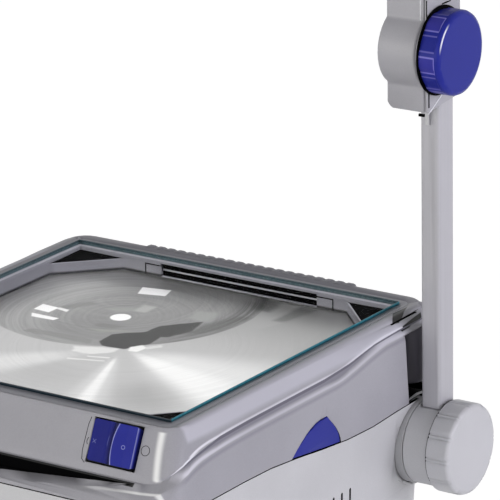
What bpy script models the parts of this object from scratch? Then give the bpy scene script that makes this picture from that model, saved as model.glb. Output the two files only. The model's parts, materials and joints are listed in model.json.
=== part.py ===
"""Overhead projector with a hinged stage lid, a folding arm and a rack-and-pinion focus.

Metres, +Z up. Places are written from the centre of the glass stage in plan and from the desk in height.
One empty then shifts everything so that the part's origin is at the middle of its box on the desk. The
front, where the speaker stands, faces -Y, and the arm stands at the rear right corner.
"""
import math

import bmesh
import bpy
from mathutils import Matrix, Vector

# Fits and general values
GAP = 0.0003
MERGE = 0.00001
OVERRUN = 0.004
WALL = 0.0025
CORNER_STEPS = 5
SIDE_STEPS = 9
FRONT_STEPS = 2

# Half widths, each inward from the widest line, which runs along the seam
GLASS_HEIGHT = 0.200
BODY_HALF = 0.1780
UNDER_RIDGE_INSET = 0.0028
SECOND_RIDGE_INSET = 0.0011
RIDGE_INSET = 0.0028
RIDGE_GROOVE_INSET = 0.0011
SHOULDER_INSET = 0.0068
TOP_INSET = 0.0020
SIDE_RIM_WIDTH = 0.0060
SIDE_FRAME_WIDTH = 0.0065
WAIST_INSET = 0.0055
WAIST_TO_FOOT = 0.0060
HINGE_WALL_INSET = 0.0028
UNDER_RIDGE_HALF = BODY_HALF - UNDER_RIDGE_INSET
SECOND_RIDGE_HALF = UNDER_RIDGE_HALF - SECOND_RIDGE_INSET
RIDGE_HALF = SECOND_RIDGE_HALF - RIDGE_INSET
RIDGE_GROOVE_HALF = RIDGE_HALF - RIDGE_GROOVE_INSET
LID_SHOULDER_HALF = RIDGE_HALF - SHOULDER_INSET
LID_TOP_HALF = LID_SHOULDER_HALF - TOP_INSET
FRAME_HALF = LID_TOP_HALF - SIDE_RIM_WIDTH
GLASS_HALF = FRAME_HALF - SIDE_FRAME_WIDTH
CASING_WAIST_HALF = BODY_HALF - WAIST_INSET
CASING_FOOT_HALF = CASING_WAIST_HALF - WAIST_TO_FOOT
HINGE_WALL_HALF = BODY_HALF - HINGE_WALL_INSET

# Front and rear distances, each outward from the glass
FRONT_FRAME_WIDTH = 0.0103
FRONT_RIM_WIDTH = 0.0017
FRONT_SHOULDER_RUN = 0.0014
LIP_RUN = 0.0251
LIP_LOWER_RUN = 0.0023
BODY_FRONT_RUN = 0.0017
REAR_FRAME_WIDTH = 0.0072
REAR_RIM_WIDTH = 0.0108
REAR_SHOULDER_RUN = 0.0017
BODY_REAR_RUN = 0.0025
WAIST_FRONT_INSET = 0.0040
FOOT_FRONT_INSET = 0.0050
WAIST_REAR_INSET = 0.0027
FOOT_REAR_INSET = 0.0030
FRAME_FRONT = GLASS_HALF + FRONT_FRAME_WIDTH
LID_TOP_FRONT = FRAME_FRONT + FRONT_RIM_WIDTH
LID_SHOULDER_FRONT = LID_TOP_FRONT + FRONT_SHOULDER_RUN
LIP_FRONT = LID_SHOULDER_FRONT + LIP_RUN
LIP_LOWER_FRONT = LIP_FRONT + LIP_LOWER_RUN
BODY_FRONT = LIP_LOWER_FRONT + BODY_FRONT_RUN
FRAME_REAR = GLASS_HALF + REAR_FRAME_WIDTH
LID_TOP_REAR = FRAME_REAR + REAR_RIM_WIDTH
LID_SHOULDER_REAR = LID_TOP_REAR + REAR_SHOULDER_RUN
BODY_REAR = LID_SHOULDER_REAR + BODY_REAR_RUN
CASING_WAIST_FRONT = BODY_FRONT - WAIST_FRONT_INSET
CASING_FOOT_FRONT = CASING_WAIST_FRONT - FOOT_FRONT_INSET
CASING_WAIST_REAR = BODY_REAR - WAIST_REAR_INSET
CASING_FOOT_REAR = CASING_WAIST_REAR - FOOT_REAR_INSET

# Stage: glass, frame and Fresnel lens
GLASS_THICKNESS = 0.0040
GLASS_EDGE = 0.0004
GLASS_PROUD = 0.0020
GLASS_LIP = 0.0035
FRAME_CORNER = 0.009
FRAME_FLANGE = 0.0032
WELL_WALL = 0.0030
WELL_CORNER = 0.042
GUSSET_DROP = 0.0078
LENS_DROP = 0.0170
LENS_THICKNESS = 0.0030
LENS_LEDGE = 0.0050
LENS_LEDGE_THICKNESS = 0.0022
SLOT_CENTRE_X = 0.0045
SLOT_HALF_LENGTH = 0.073
SLOT_TOP_DROP = 0.0062
SLOT_HEIGHT = 0.0105
BAR_DROP = 0.0121
BAR_HEIGHT = 0.0010
BAR_THICKNESS = 0.0012
BAR_TAB = 0.006

# Lid outline: corners, and heights below the glass
LID_TOP_DROP = GLASS_PROUD
LID_SHOULDER_DROP = 0.0044
LID_TOP_CORNER = 0.015
LID_LEDGE_WIDTH = 0.0033
LID_LEDGE_THICKNESS = 0.0026
PANEL_RUN_SHARE = 0.443
PANEL_DROP = 0.0400
GROOVE_STEP = 0.0035
GROOVE_DEPTH = 0.0016
BODY_CORNER = 0.024
BODY_REAR_CORNER = 0.039
RIDGE_DROP = 0.0163
RIDGE_FRONT_FALL = 0.0237
RIDGE_FALL_LENGTH = 0.018
RIDGE_REAR_RISE = 0.0078
SECOND_RIDGE_DROP = 0.0225
SECOND_RIDGE_FRONT_FALL = 0.0230
SECOND_RIDGE_FALL_LENGTH = 0.022
SECOND_RIDGE_REAR_RISE = 0.0100
UNDER_RIDGE_STEP = 0.0050
SEAM_DROP = 0.0625
SEAM_SWING = 0.0062
SEAM_GAP = 0.0008

# Grip ribs on the rear edge of the lid
GRIP_COUNT = 21
GRIP_PITCH = 0.0093
GRIP_RADIUS_SHARE = 0.46
GRIP_RISE = 0.0009
GRIP_ROOT = 0.0016
GRIP_ARC_STEPS = 3
GRIP_REACH = 0.0020
GRIP_REAR_INSET = 0.0010

# Notch for the arm in the lid's rear right corner
HUB_REAR_INSET = 0.0372
NOTCH_AHEAD = 0.0175
COLUMN_BEHIND = 0.0050
HUB_Y = BODY_REAR - HUB_REAR_INSET
NOTCH_START = HUB_Y - NOTCH_AHEAD
NOTCH_DEPTH = 0.0200
RISE_AHEAD = 0.0175
RISE_LENGTH = 0.0780
SEAM_END_AHEAD = 0.0075
SEAM_LEVEL_LENGTH = 0.0470
SEAM_FRONT_INSET = 0.0975
RISE_END = NOTCH_START - RISE_AHEAD
RISE_START = RISE_END - RISE_LENGTH
SEAM_REAR_END = NOTCH_START - SEAM_END_AHEAD
SEAM_REAR_TURN = SEAM_REAR_END - SEAM_LEVEL_LENGTH
SEAM_FRONT_TURN = SEAM_FRONT_INSET - BODY_FRONT
NOTCH_TOP_DROP = 0.0135
FAIRING_WALL = 0.0024
COLUMN_RADIUS = 0.0105
COLUMN_CENTRE_Y = HUB_Y + COLUMN_BEHIND
COLUMN_FOOT_DROP = 0.0560
WINDOW_AHEAD = 0.0064
WINDOW_LENGTH = 0.0360
WINDOW_INSET = 0.0009
BAND_THICKNESS = 0.0041

# Front recess and its insert
RECESS_INSET = 0.0390
RECESS_HALF = BODY_HALF - RECESS_INSET
RECESS_DEPTH = 0.0125
RECESS_TOP_DROP = 0.0403
RECESS_SET_BACK = 0.0040
TRIM_THICKNESS = 0.0020
INSERT_END_GAP = 0.0036
RECESS_STEPS = 14

# Rocker switch on the sloping panel
ROCKER_WIDTH = 0.0410
ROCKER_LENGTH = 0.0305
ROCKER_INSET = 0.0620
ROCKER_CENTRE_X = BODY_HALF - ROCKER_INSET
ROCKER_CENTRE_DROP = 0.0186
ROCKER_CLEARANCE = 0.0009
ROCKER_UNDER = 0.0022
ROCKER_AXIS_DEPTH = 0.0040
ROCKER_STEM_HALF = 0.0050
ROCKER_STEM_DEPTH = 0.0070
ROCKER_STEM_SHARE = 0.50
ROCKER_LOW = 0.0004
ROCKER_DISH = 0.0006
ROCKER_FLANK = 0.0024
ROCKER_CREST = 0.0054
ROCKER_HIGH = 0.0040
ROCKER_SHARES = (-1.0, -0.62, -0.34, -0.12, 0.04, 0.12, 0.55, 0.955)
ROCKER_PIN_RADIUS = 0.0010
SWITCH_TOP_DEPTH = 0.0088
SWITCH_HEIGHT = 0.0068
SWITCH_WIDTH = 0.0240
SWITCH_EAR = 0.0024
SWITCH_EAR_HALF = 0.0028

# Latch buttons
LATCH_START = -0.0405
LATCH_END = 0.0228
LATCH_TIP = 0.0072
LATCH_RISE = 0.0225
LATCH_FOOT = 0.0002
LATCH_CLEARANCE = 0.0006
LATCH_THICKNESS = 0.0030
LATCH_PROUD = 0.0006
LATCH_ARC_STEPS = 7
LATCH_FOOT_STEPS = 4
LATCH_STEM_WIDTH = 0.0180
LATCH_STEM_HEIGHT = 0.0060
LATCH_STEM_LENGTH = 0.0160
LATCH_STEM_RISE = 0.0085

# Lower casing, base plate, feet and vents
CASING_STEP_DROP = 0.1350
CASING_STEP = 0.0024
CASING_STEP_RISE = 0.0012
HINGE_WALL_DROP = 0.1000
BASE_THICKNESS = 0.0030
BASE_INSET = 0.0010
FOOT_HEIGHT = 0.0085
FOOT_RADIUS = 0.0110
FOOT_EDGE = 0.0015
FOOT_INSET_X = 0.034
FOOT_INSET_Y = 0.034
SIDE_VENT_COUNT = 10
SIDE_VENT_PITCH = 0.0112
SIDE_VENT_WIDTH = 0.0024
SIDE_VENT_HEIGHT = 0.0360
SIDE_VENT_TOP_DROP = 0.1090
SIDE_VENT_REAR = 0.0420
SIDE_VENT_SLANT = math.radians(5)
REAR_VENT_COUNT = 9
REAR_VENT_PITCH = 0.0110
REAR_VENT_START = -0.020
REAR_VENT_TOP_DROP = 0.1080
REAR_VENT_HEIGHT = 0.0400
BASE_VENT_COUNT = 8
BASE_VENT_PITCH = 0.0120
BASE_VENT_WIDTH = 0.0050
BASE_VENT_LENGTH = 0.0600
BASE_VENT_MIDDLE = -0.0960

# Lid hinges
HINGE_AXIS_OUT = 0.0052
HINGE_DROP = 0.0640
HINGE_INSET_X = 0.0730
HINGE_X = BODY_HALF - HINGE_INSET_X
HINGE_KNUCKLE = 0.0140
HINGE_RADIUS = 0.0042
HINGE_PIN_RADIUS = 0.0018
HINGE_LEAF = 0.0016
HINGE_LEAF_HEIGHT = 0.0240

# Arm hub
HUB_DROP = 0.1005
HUB_FACE_INSET = 0.0060
HUB_FACE_X = BODY_HALF - HUB_FACE_INSET
HUB_BOSS_RISE = 0.0016
HUB_BOSS_LENGTH = 0.0180
HUB_PLATE_RADIUS = 0.0332
HUB_PLATE_THICKNESS = 0.0087
HUB_PLATE_EDGE = 0.0008
BARREL_RADIUS = 0.0326
BARREL_LENGTH = 0.0216
KNOB_RADIUS = 0.0352
KNOB_LENGTH = 0.0190
KNOB_EDGE = 0.0032
KNOB_GROOVE = 0.0011
KNOB_GROOVES = 12
KNOB_GROOVE_SPREAD = math.radians(4.6)
KNOB_GROOVE_WIDTH = math.radians(1.9)
GROOVE_EDGE_SHARES = (-1.4, -0.6, 0.6, 1.4)
GROOVE_PLAIN_SHARES = (0.34, 0.66)
RIM_SHARES = (1.0, 0.5, 0.0)
BOLT_RADIUS = 0.0060
BOLT_HEAD_RADIUS = 0.0105
BOLT_HEAD_LENGTH = 0.0050
BOLT_GRIP = 0.0120

# Post, rack and cap
POST_WIDTH = 0.0170
POST_DEPTH = 0.0210
POST_WALL = 0.0016
POST_CORNER = 0.0030
POST_INNER_CORNER = 0.0012
POST_SEAT = 0.0110
POST_TOP_RISE = 0.0360
RACK_WIDTH = 0.0050
RACK_SLOT_DEPTH = 0.0050
RACK_LENGTH = 0.1000
RACK_LIFT_TEETH = 2
CAP_THICKNESS = 0.0025
CAP_PLUG = 0.0080

# Focus mechanism
TOOTH_MODULE = 0.00125
PINION_TEETH = 12
PRESSURE_ANGLE = math.radians(20)
TOOTH_BACKLASH = 0.00020
TOOTH_TIP_SHARE = 1.0
TOOTH_ROOT_SHARE = 1.25
FLANK_STEPS = 2
PINION_WIDTH = 0.0046
PINION_AHEAD = 0.0153
PINION_AXIS_Y = HUB_Y - PINION_AHEAD
PINION_HEIGHT = 0.4100
SHAFT_RADIUS = 0.0030
FOCUS_KNOB_RADIUS = 0.0315
FOCUS_KNOB_LENGTH = 0.0172
FOCUS_KNOB_EDGE = 0.0030
FOCUS_KNOB_GAP = 0.0014
FLUTE_COUNT = 6
FLUTE_HALF_ANGLE = math.radians(16)
FLUTE_DEPTH = 0.0011
FLUTE_HEIGHT = 0.0128
FLUTE_STEP = 0.0008
KNOB_STATIONS = 54

# Head carriage
CARRIAGE_LEFT_REACH = 0.0230
CARRIAGE_RIGHT_REACH = 0.0122
COVER_THICKNESS = 0.0030
CARRIAGE_FRONT_REACH = 0.0162
CARRIAGE_REAR_REACH = 0.0303
CARRIAGE_FRONT = PINION_AXIS_Y - CARRIAGE_FRONT_REACH
CARRIAGE_REAR = PINION_AXIS_Y + CARRIAGE_REAR_REACH
CARRIAGE_FOOT_FALL = 0.0445
CARRIAGE_FOOT = PINION_HEIGHT - CARRIAGE_FOOT_FALL
CARRIAGE_FOOT_RISE = 0.0044
CARRIAGE_TOP_RISE = 0.1020
CARRIAGE_TOP = PINION_HEIGHT + CARRIAGE_TOP_RISE
POST_TOP = CARRIAGE_TOP + POST_TOP_RISE
CARRIAGE_CHAMFER = 0.0055
CARRIAGE_EDGE = 0.0020
BULGE_RADIUS = 0.0295
GEAR_ROOM_RADIUS = 0.0095
GUIDE_STRIP_LEFT = 0.0026
GUIDE_STRIP_WIDTH = 0.0030
GUIDE_STRIP_THICKNESS = 0.0012
GUIDE_STRIP_DROP = 0.0150

# Head: arm, lens barrel, lens and mirror
HEAD_ARM_TOP_DROP = 0.0320
HEAD_ARM_LOW = CARRIAGE_TOP - HEAD_ARM_TOP_DROP
HEAD_ARM_HEIGHT = 0.0280
HEAD_ARM_WIDTH = 0.0420
HEAD_ARM_TIP_WIDTH = 0.0560
HEAD_ARM_EDGE = 0.0050
HEAD_ARM_BEHIND = 0.0053
HEAD_ARM_ROOT_Y = PINION_AXIS_Y + HEAD_ARM_BEHIND
HEAD_COLLAR_WALL = 0.0045
BARREL_TUBE_RADIUS = 0.0490
BARREL_TUBE_WALL = 0.0030
BARREL_TUBE_FALL = 0.0040
BARREL_TUBE_LOW = HEAD_ARM_LOW - BARREL_TUBE_FALL
BARREL_TUBE_HEIGHT = 0.0480
BARREL_LIP = 0.0020
LENS_RADIUS = 0.0440
LENS_CENTRE = 0.0090
LENS_EDGE = 0.0040
LENS_SPACING = 0.0010
LENS_RING_SHARES = (0, 0.45, 0.8, 1.0)
MIRROR_HINGE_Y = 0.0560
MIRROR_HINGE_RISE = 0.0090
MIRROR_WIDTH = 0.1000
MIRROR_LENGTH = 0.1120
MIRROR_BORDER = 0.0050
MIRROR_FRAME_THICKNESS = 0.0060
MIRROR_THICKNESS = 0.0025
MIRROR_EDGE = 0.0016
MIRROR_ANGLE = math.radians(45)
MIRROR_PIN_RADIUS = 0.0020
MIRROR_EAR = 0.0050
MIRROR_EAR_RADIUS = 0.0060
MIRROR_EAR_SPREAD = 0.0300

# Lamp house
LAMP_HEIGHT = 0.0640
LAMP_RADIUS = 0.0065
LAMP_NECK = 0.0050
LAMP_LENGTH = 0.0360
LAMP_PIN_LENGTH = 0.0080
LAMP_HOLDER_X = -0.0300
LAMP_HOLDER_SIZE = 0.0160
LAMP_HOLDER_HEIGHT = 0.0180
REFLECTOR_RADIUS = 0.0330
REFLECTOR_WALL = 0.0010
REFLECTOR_REACH = math.radians(64)
REFLECTOR_NECK = 0.0060
REFLECTOR_HOLE = 0.0020
REFLECTOR_STEPS = 3
SHIELD_HALF = 0.0480
SHIELD_HEIGHT = 0.0850
SHIELD_WALL = 0.0012
CONDENSER_RADIUS = 0.0360
CONDENSER_THICKNESS = 0.0110
CONDENSER_RIM = 0.0030
CONDENSER_SEAT = 0.0020

# Transformer, fan, inlet and interlock
CORE_SIZE = Vector((0.0640, 0.0340, 0.0560))
COIL_SIZE = Vector((0.0300, 0.0560, 0.0360))
CORE_EDGE = 0.0015
TRANSFORMER_INSET = 0.0515
TRANSFORMER_X = TRANSFORMER_INSET - CASING_FOOT_HALF
TRANSFORMER_REAR_INSET = 0.0665
TRANSFORMER_Y = CASING_FOOT_REAR - TRANSFORMER_REAR_INSET
FAN_INSET = 0.0315
FAN_X = CASING_FOOT_HALF - FAN_INSET
FAN_Y = 0.0150
FAN_SIDE = 0.0800
FAN_DEPTH = 0.0240
FAN_BORE = 0.0375
FAN_HUB = 0.0160
FAN_BLADES = 7
FAN_BLADE_THICKNESS = 0.0016
FAN_BLADE_PITCH = math.radians(38)
FAN_BLADE_HALF = 0.0108
FAN_STRUT = 0.0040
FAN_STRUT_ANGLE = math.radians(14)
FAN_TIP_GAP = 0.0015
FAN_SPINDLE = 0.0020
INLET_X = -0.0500
INLET_HEIGHT = 0.0480
INLET_WIDTH = 0.0270
INLET_TALL = 0.0200
INLET_FLANGE = 0.0040
INLET_DEPTH = 0.0240
INLET_WALL = 0.0020
INLET_PIN_WIDTH = 0.0040
INLET_PIN_THICKNESS = 0.0020
INLET_PIN_SPACING = 0.0070
INLET_PIN_LENGTH = 0.0150
INTERLOCK_INSET = 0.0580
INTERLOCK_X = INTERLOCK_INSET - BODY_HALF
INTERLOCK_SIZE = Vector((0.0200, 0.0100, 0.0160))
INTERLOCK_DROP = 0.0850

# Colours, as red, green and blue shares
GREY_SHARES = (0.40, 0.39, 0.41)
LIGHT_GREY_SHARES = (0.55, 0.54, 0.58)
DARK_GREY_SHARES = (0.12, 0.115, 0.13)
BLACK_SHARES = (0.015, 0.015, 0.017)
BLUE_SHARES = (0.045, 0.045, 0.30)
METAL_SHARES = (0.60, 0.60, 0.62)
GLASS_SHARES = (0.75, 0.88, 0.86)

# The part's box in plan, which sets its origin
POST_X = HUB_FACE_X + HUB_PLATE_THICKNESS + GAP + BARREL_LENGTH / 2
CARRIAGE_LEFT = POST_X - CARRIAGE_LEFT_REACH
CARRIAGE_RIGHT = POST_X + CARRIAGE_RIGHT_REACH
BOX_LEFT = -BODY_HALF
BOX_RIGHT = HUB_FACE_X + HUB_PLATE_THICKNESS + BARREL_LENGTH + KNOB_LENGTH + 2 * GAP
FOCUS_FACE = CARRIAGE_RIGHT + FOCUS_KNOB_GAP + FOCUS_KNOB_LENGTH
BOX_RIGHT = max(BOX_RIGHT, FOCUS_FACE)
BOX_FRONT = -BODY_FRONT
BOX_REAR = BODY_REAR + HINGE_AXIS_OUT + HINGE_RADIUS

# Places that several pieces share
PINION_RADIUS = TOOTH_MODULE * PINION_TEETH / 2
PITCH_LINE_Y = PINION_AXIS_Y + PINION_RADIUS
POST_FRONT_Y = PITCH_LINE_Y - TOOTH_MODULE * TOOTH_TIP_SHARE - GAP
POST_Y = POST_FRONT_Y + POST_DEPTH / 2
HUB_HEIGHT = GLASS_HEIGHT - HUB_DROP
BOSS_RADIUS = HUB_PLATE_RADIUS + 2 * GAP + WALL
HINGE_Y = BODY_REAR + HINGE_AXIS_OUT
HINGE_HEIGHT = GLASS_HEIGHT - HINGE_DROP
PANEL_SLOPE = math.atan(PANEL_RUN_SHARE)
MIRROR_HINGE_HEIGHT = BARREL_TUBE_LOW + BARREL_TUBE_HEIGHT + MIRROR_HINGE_RISE

# Turns that bring a piece made along +Z onto another axis
TURN_TO_X = Matrix.Rotation(math.pi / 2, 4, "Y")
TURN_TO_Y = Matrix.Rotation(-math.pi / 2, 4, "X")

for old in list(bpy.data.objects):
    bpy.data.objects.remove(old, do_unlink=True)

PARTS = bpy.data.collections.new("overhead_projector")
CUTTERS = bpy.data.collections.new("cutters")
for group in (PARTS, CUTTERS):
    bpy.context.scene.collection.children.link(group)


# Materials

def finish(obj, shares, roughness=0.5, metallic=0.0):
    """Give an object its own Principled material."""
    material = bpy.data.materials.new(obj.name)
    material.use_nodes = True
    shader = material.node_tree.nodes["Principled BSDF"]
    shader.inputs["Base Color"].default_value = (*shares, 1.0)
    shader.inputs["Roughness"].default_value = roughness
    shader.inputs["Metallic"].default_value = metallic
    obj.data.materials.clear()
    obj.data.materials.append(material)
    return obj


# Making and joining shapes

def link_mesh(name, shape, place=Matrix.Identity(4)):
    """Turn a bmesh into an object of the part."""
    mesh = bpy.data.meshes.new(name)
    shape.to_mesh(mesh)
    shape.free()
    obj = bpy.data.objects.new(name, mesh)
    PARTS.objects.link(obj)
    obj.matrix_world = place
    return obj


def block(name, low, high, place=Matrix.Identity(4), edge=0.0, segments=2):
    """A box between two corners, with its edges rounded when an edge size is given."""
    low, high = Vector(low), Vector(high)
    shape = bmesh.new()
    bmesh.ops.create_cube(shape, size=1)
    size = high - low
    centre = (high + low) / 2
    bmesh.ops.scale(shape, vec=size, verts=shape.verts)
    bmesh.ops.translate(shape, vec=centre, verts=shape.verts)
    obj = link_mesh(name, shape, place)
    if edge:
        soften(obj, edge, segments)
    return obj


def drum(name, radius, low, high, place, sides=24, top_radius=None):
    """A cylinder or a cone along local Z, from one height to another."""
    shape = bmesh.new()
    upper = radius if top_radius is None else top_radius
    bmesh.ops.create_cone(shape, cap_ends=True, segments=sides, radius1=radius, radius2=upper,
                          depth=high - low)
    bmesh.ops.translate(shape, vec=(0, 0, (high + low) / 2), verts=shape.verts)
    return link_mesh(name, shape, place)


def turned(name, profile, place, steps=32, closed=False):
    """A profile of (radius, height) points, listed down its outer side, turned about local Z."""
    shape = bmesh.new()
    points = [shape.verts.new((radius, 0, height)) for radius, height in profile]
    for start, end in zip(points, points[1:]):
        shape.edges.new((start, end))
    if closed:
        shape.edges.new((points[-1], points[0]))
    obj = link_mesh(name, shape, place)
    screw = obj.modifiers.new("turn", "SCREW")
    screw.steps = steps
    screw.render_steps = steps
    screw.use_merge_vertices = True
    screw.merge_threshold = MERGE
    weld = obj.modifiers.new("weld", "WELD")
    weld.merge_threshold = MERGE
    return obj


def plate(name, outlines, low, high, place=Matrix.Identity(4)):
    """A flat outline, with any further outlines as holes, raised from one local height to another."""
    curve = bpy.data.curves.new(name, "CURVE")
    curve.dimensions = "2D"
    curve.fill_mode = "BOTH"
    curve.extrude = (high - low) / 2
    for outline in outlines:
        spline = curve.splines.new("POLY")
        spline.points.add(len(outline) - 1)
        for point, (u, v) in zip(spline.points, outline):
            point.co = (u, v, 0, 1)
        spline.use_cyclic_u = True
    guide = bpy.data.objects.new(name, curve)
    PARTS.objects.link(guide)
    depsgraph = bpy.context.evaluated_depsgraph_get()
    mesh = bpy.data.meshes.new_from_object(guide.evaluated_get(depsgraph))
    shape = bmesh.new()
    shape.from_mesh(mesh)
    bpy.data.objects.remove(guide, do_unlink=True)
    bpy.data.meshes.remove(mesh)
    bpy.data.curves.remove(curve)
    bmesh.ops.remove_doubles(shape, verts=shape.verts, dist=MERGE)
    bmesh.ops.dissolve_limit(shape, angle_limit=math.radians(0.5), verts=shape.verts, edges=shape.edges)
    bmesh.ops.recalc_face_normals(shape, faces=shape.faces)
    bmesh.ops.translate(shape, vec=(0, 0, (high + low) / 2), verts=shape.verts)
    return link_mesh(name, shape, place)


def loft(name, rings, place=Matrix.Identity(4), closed=True):
    """Skin over rings of equal point counts: a closed tube of sections, or one with flat end caps."""
    shape = bmesh.new()
    loops = [[shape.verts.new(point) for point in ring] for ring in rings]
    pairs = list(zip(loops, loops[1:]))
    if closed:
        pairs.append((loops[-1], loops[0]))
    count = len(loops[0])
    for upper, lower in pairs:
        for index in range(count):
            after = (index + 1) % count
            shape.faces.new((upper[index], lower[index], lower[after], upper[after]))
    if not closed:
        shape.faces.new(loops[0])
        shape.faces.new(list(reversed(loops[-1])))
    return link_mesh(name, shape, place)


def soften(obj, width, segments=2, angle=math.radians(40)):
    """Round the sharp edges of an object."""
    bevel = obj.modifiers.new("soften", "BEVEL")
    bevel.width = width
    bevel.segments = segments
    bevel.limit_method = "ANGLE"
    bevel.angle_limit = angle
    return obj


def combine(target, tool, operation):
    """Cut a tool out of a piece, or join it on, and put the tool with the cutters."""
    modifier = target.modifiers.new(operation.lower(), "BOOLEAN")
    modifier.operation = operation
    modifier.solver = "EXACT"
    modifier.object = tool
    for group in tool.users_collection:
        group.objects.unlink(tool)
    CUTTERS.objects.link(tool)
    tool.hide_render = True
    tool.display_type = "WIRE"
    hold(tool, target)
    return target


def cut(target, tool):
    """Cut a tool out of a piece."""
    return combine(target, tool, "DIFFERENCE")


def join(target, tool):
    """Join a tool on to a piece."""
    return combine(target, tool, "UNION")


def pivot(name, point, parent=None):
    """An empty on a joint's axis, for the pieces that move with it."""
    empty = bpy.data.objects.new(name, None)
    PARTS.objects.link(empty)
    empty.matrix_world = at(*point)
    if parent:
        hold(empty, parent)
    return empty


def hold(obj, carrier):
    """Parent an object to an empty and leave it where it is."""
    obj.parent = carrier
    obj.matrix_parent_inverse = carrier.matrix_world.inverted()
    return obj


def at(x, y, z):
    """A translation as a matrix."""
    return Matrix.Translation((x, y, z))


# Outlines

def arc(centre_u, centre_v, radius, start, end, steps):
    """Points along an arc, its ends included."""
    angles = [start + (end - start) * step / steps for step in range(steps + 1)]
    return [(centre_u + radius * math.cos(angle), centre_v + radius * math.sin(angle)) for angle in angles]


def rounded(low_u, high_u, low_v, high_v, radius, steps=CORNER_STEPS):
    """A rectangle with round corners."""
    quarter = math.pi / 2
    return (arc(high_u - radius, low_v + radius, radius, -quarter, 0, steps)
            + arc(high_u - radius, high_v - radius, radius, 0, quarter, steps)
            + arc(low_u + radius, high_v - radius, radius, quarter, 2 * quarter, steps)
            + arc(low_u + radius, low_v + radius, radius, 2 * quarter, 3 * quarter, steps))


def between(start, end, count):
    """Points inside a straight run, its ends left out."""
    shares = [step / count for step in range(1, count)]
    run_u, run_v = end[0] - start[0], end[1] - start[1]
    return [(start[0] + run_u * share, start[1] + run_v * share) for share in shares]


def casing_ring(half, front, rear, corner, drop, rear_corner=None, diagonal=False, level=False):
    """One ring round the body, from the front right corner by way of the rear, at a height that may vary."""
    quarter = math.pi / 2
    rear_corner = rear_corner or corner
    spots = [(half, -front, corner, -1, -1), (half, rear, rear_corner, -1, 1),
             (-half, rear, rear_corner, 1, 1), (-half, -front, corner, 1, -1)]
    corners = []
    for index, (x, y, radius, side_x, side_y) in enumerate(spots):
        centre_x = x + side_x * radius
        centre_y = y - side_y * radius
        start = (index - 1) * quarter
        points = arc(centre_x, centre_y, radius, start, start + quarter, CORNER_STEPS)
        if diagonal:
            points = [points[0], *between(points[0], points[-1], CORNER_STEPS), points[-1]]
        corners.append(points)
    outline = []
    for index, points in enumerate(corners):
        following = corners[(index + 1) % len(corners)]
        count = SIDE_STEPS if index % 2 == 0 else FRONT_STEPS
        if level:
            count = 1
        outline += points + between(points[-1], following[0], count)
    lower = drop if callable(drop) else (lambda _y: drop)
    return [(x, y, GLASS_HEIGHT - lower(y)) for x, y in outline]


def smooth(value):
    """Rise from 0 to 1 between 0 and 1, level at both ends."""
    value = min(max(value, 0.0), 1.0)
    return value * value * (3 - 2 * value)


def ridge_drop(y, shift=0.0):
    """How far the upper side ridge lies below the glass."""
    fall = RIDGE_FRONT_FALL * math.exp(-(y + PANEL_EDGE_FRONT) / RIDGE_FALL_LENGTH)
    rise = RIDGE_REAR_RISE * smooth((y - RISE_START) / (RISE_END - RISE_START))
    return RIDGE_DROP + min(fall, RIDGE_FRONT_FALL) - rise + shift


def second_ridge_drop(y, shift=0.0):
    """How far the lower side ridge lies below the glass."""
    fall = SECOND_RIDGE_FRONT_FALL * math.exp(-(y + LIP_FRONT) / SECOND_RIDGE_FALL_LENGTH)
    rise = SECOND_RIDGE_REAR_RISE * smooth((y - RISE_START) / (RISE_END - RISE_START))
    return SECOND_RIDGE_DROP + min(fall, SECOND_RIDGE_FRONT_FALL) - rise + shift


def seam_drop(y, shift=0.0):
    """How far the seam between lid and lower casing lies below the glass."""
    place = min(max(y, SEAM_FRONT_TURN), SEAM_REAR_END)
    middle = (SEAM_FRONT_TURN + SEAM_REAR_TURN) / 2
    span = SEAM_REAR_TURN - SEAM_FRONT_TURN
    return SEAM_DROP + SEAM_SWING * math.sin(math.pi * (place - middle) / span) + shift


PANEL_EDGE_FRONT = LID_SHOULDER_FRONT + PANEL_RUN_SHARE * (PANEL_DROP - LID_SHOULDER_DROP)

# Empties: the part's own origin and each joint's axis
origin = pivot("projector_origin", (0, 0, 0))
lid_pivot = pivot("lid_pivot", (0, HINGE_Y, HINGE_HEIGHT), origin)
arm_pivot = pivot("arm_pivot", (HUB_FACE_X, HUB_Y, HUB_HEIGHT), origin)
head_pivot = pivot("head_slide", (POST_X, POST_Y, PINION_HEIGHT), arm_pivot)
focus_pivot = pivot("focus_axis", (CARRIAGE_RIGHT, PINION_AXIS_Y, PINION_HEIGHT), head_pivot)
mirror_pivot = pivot("mirror_axis", (0, MIRROR_HINGE_Y, MIRROR_HINGE_HEIGHT), head_pivot)


# Lid: casing shell

def panel_front(drop):
    """How far forward the sloping panel is at a height below the glass."""
    return LID_SHOULDER_FRONT + PANEL_RUN_SHARE * (drop - LID_SHOULDER_DROP)


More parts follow.
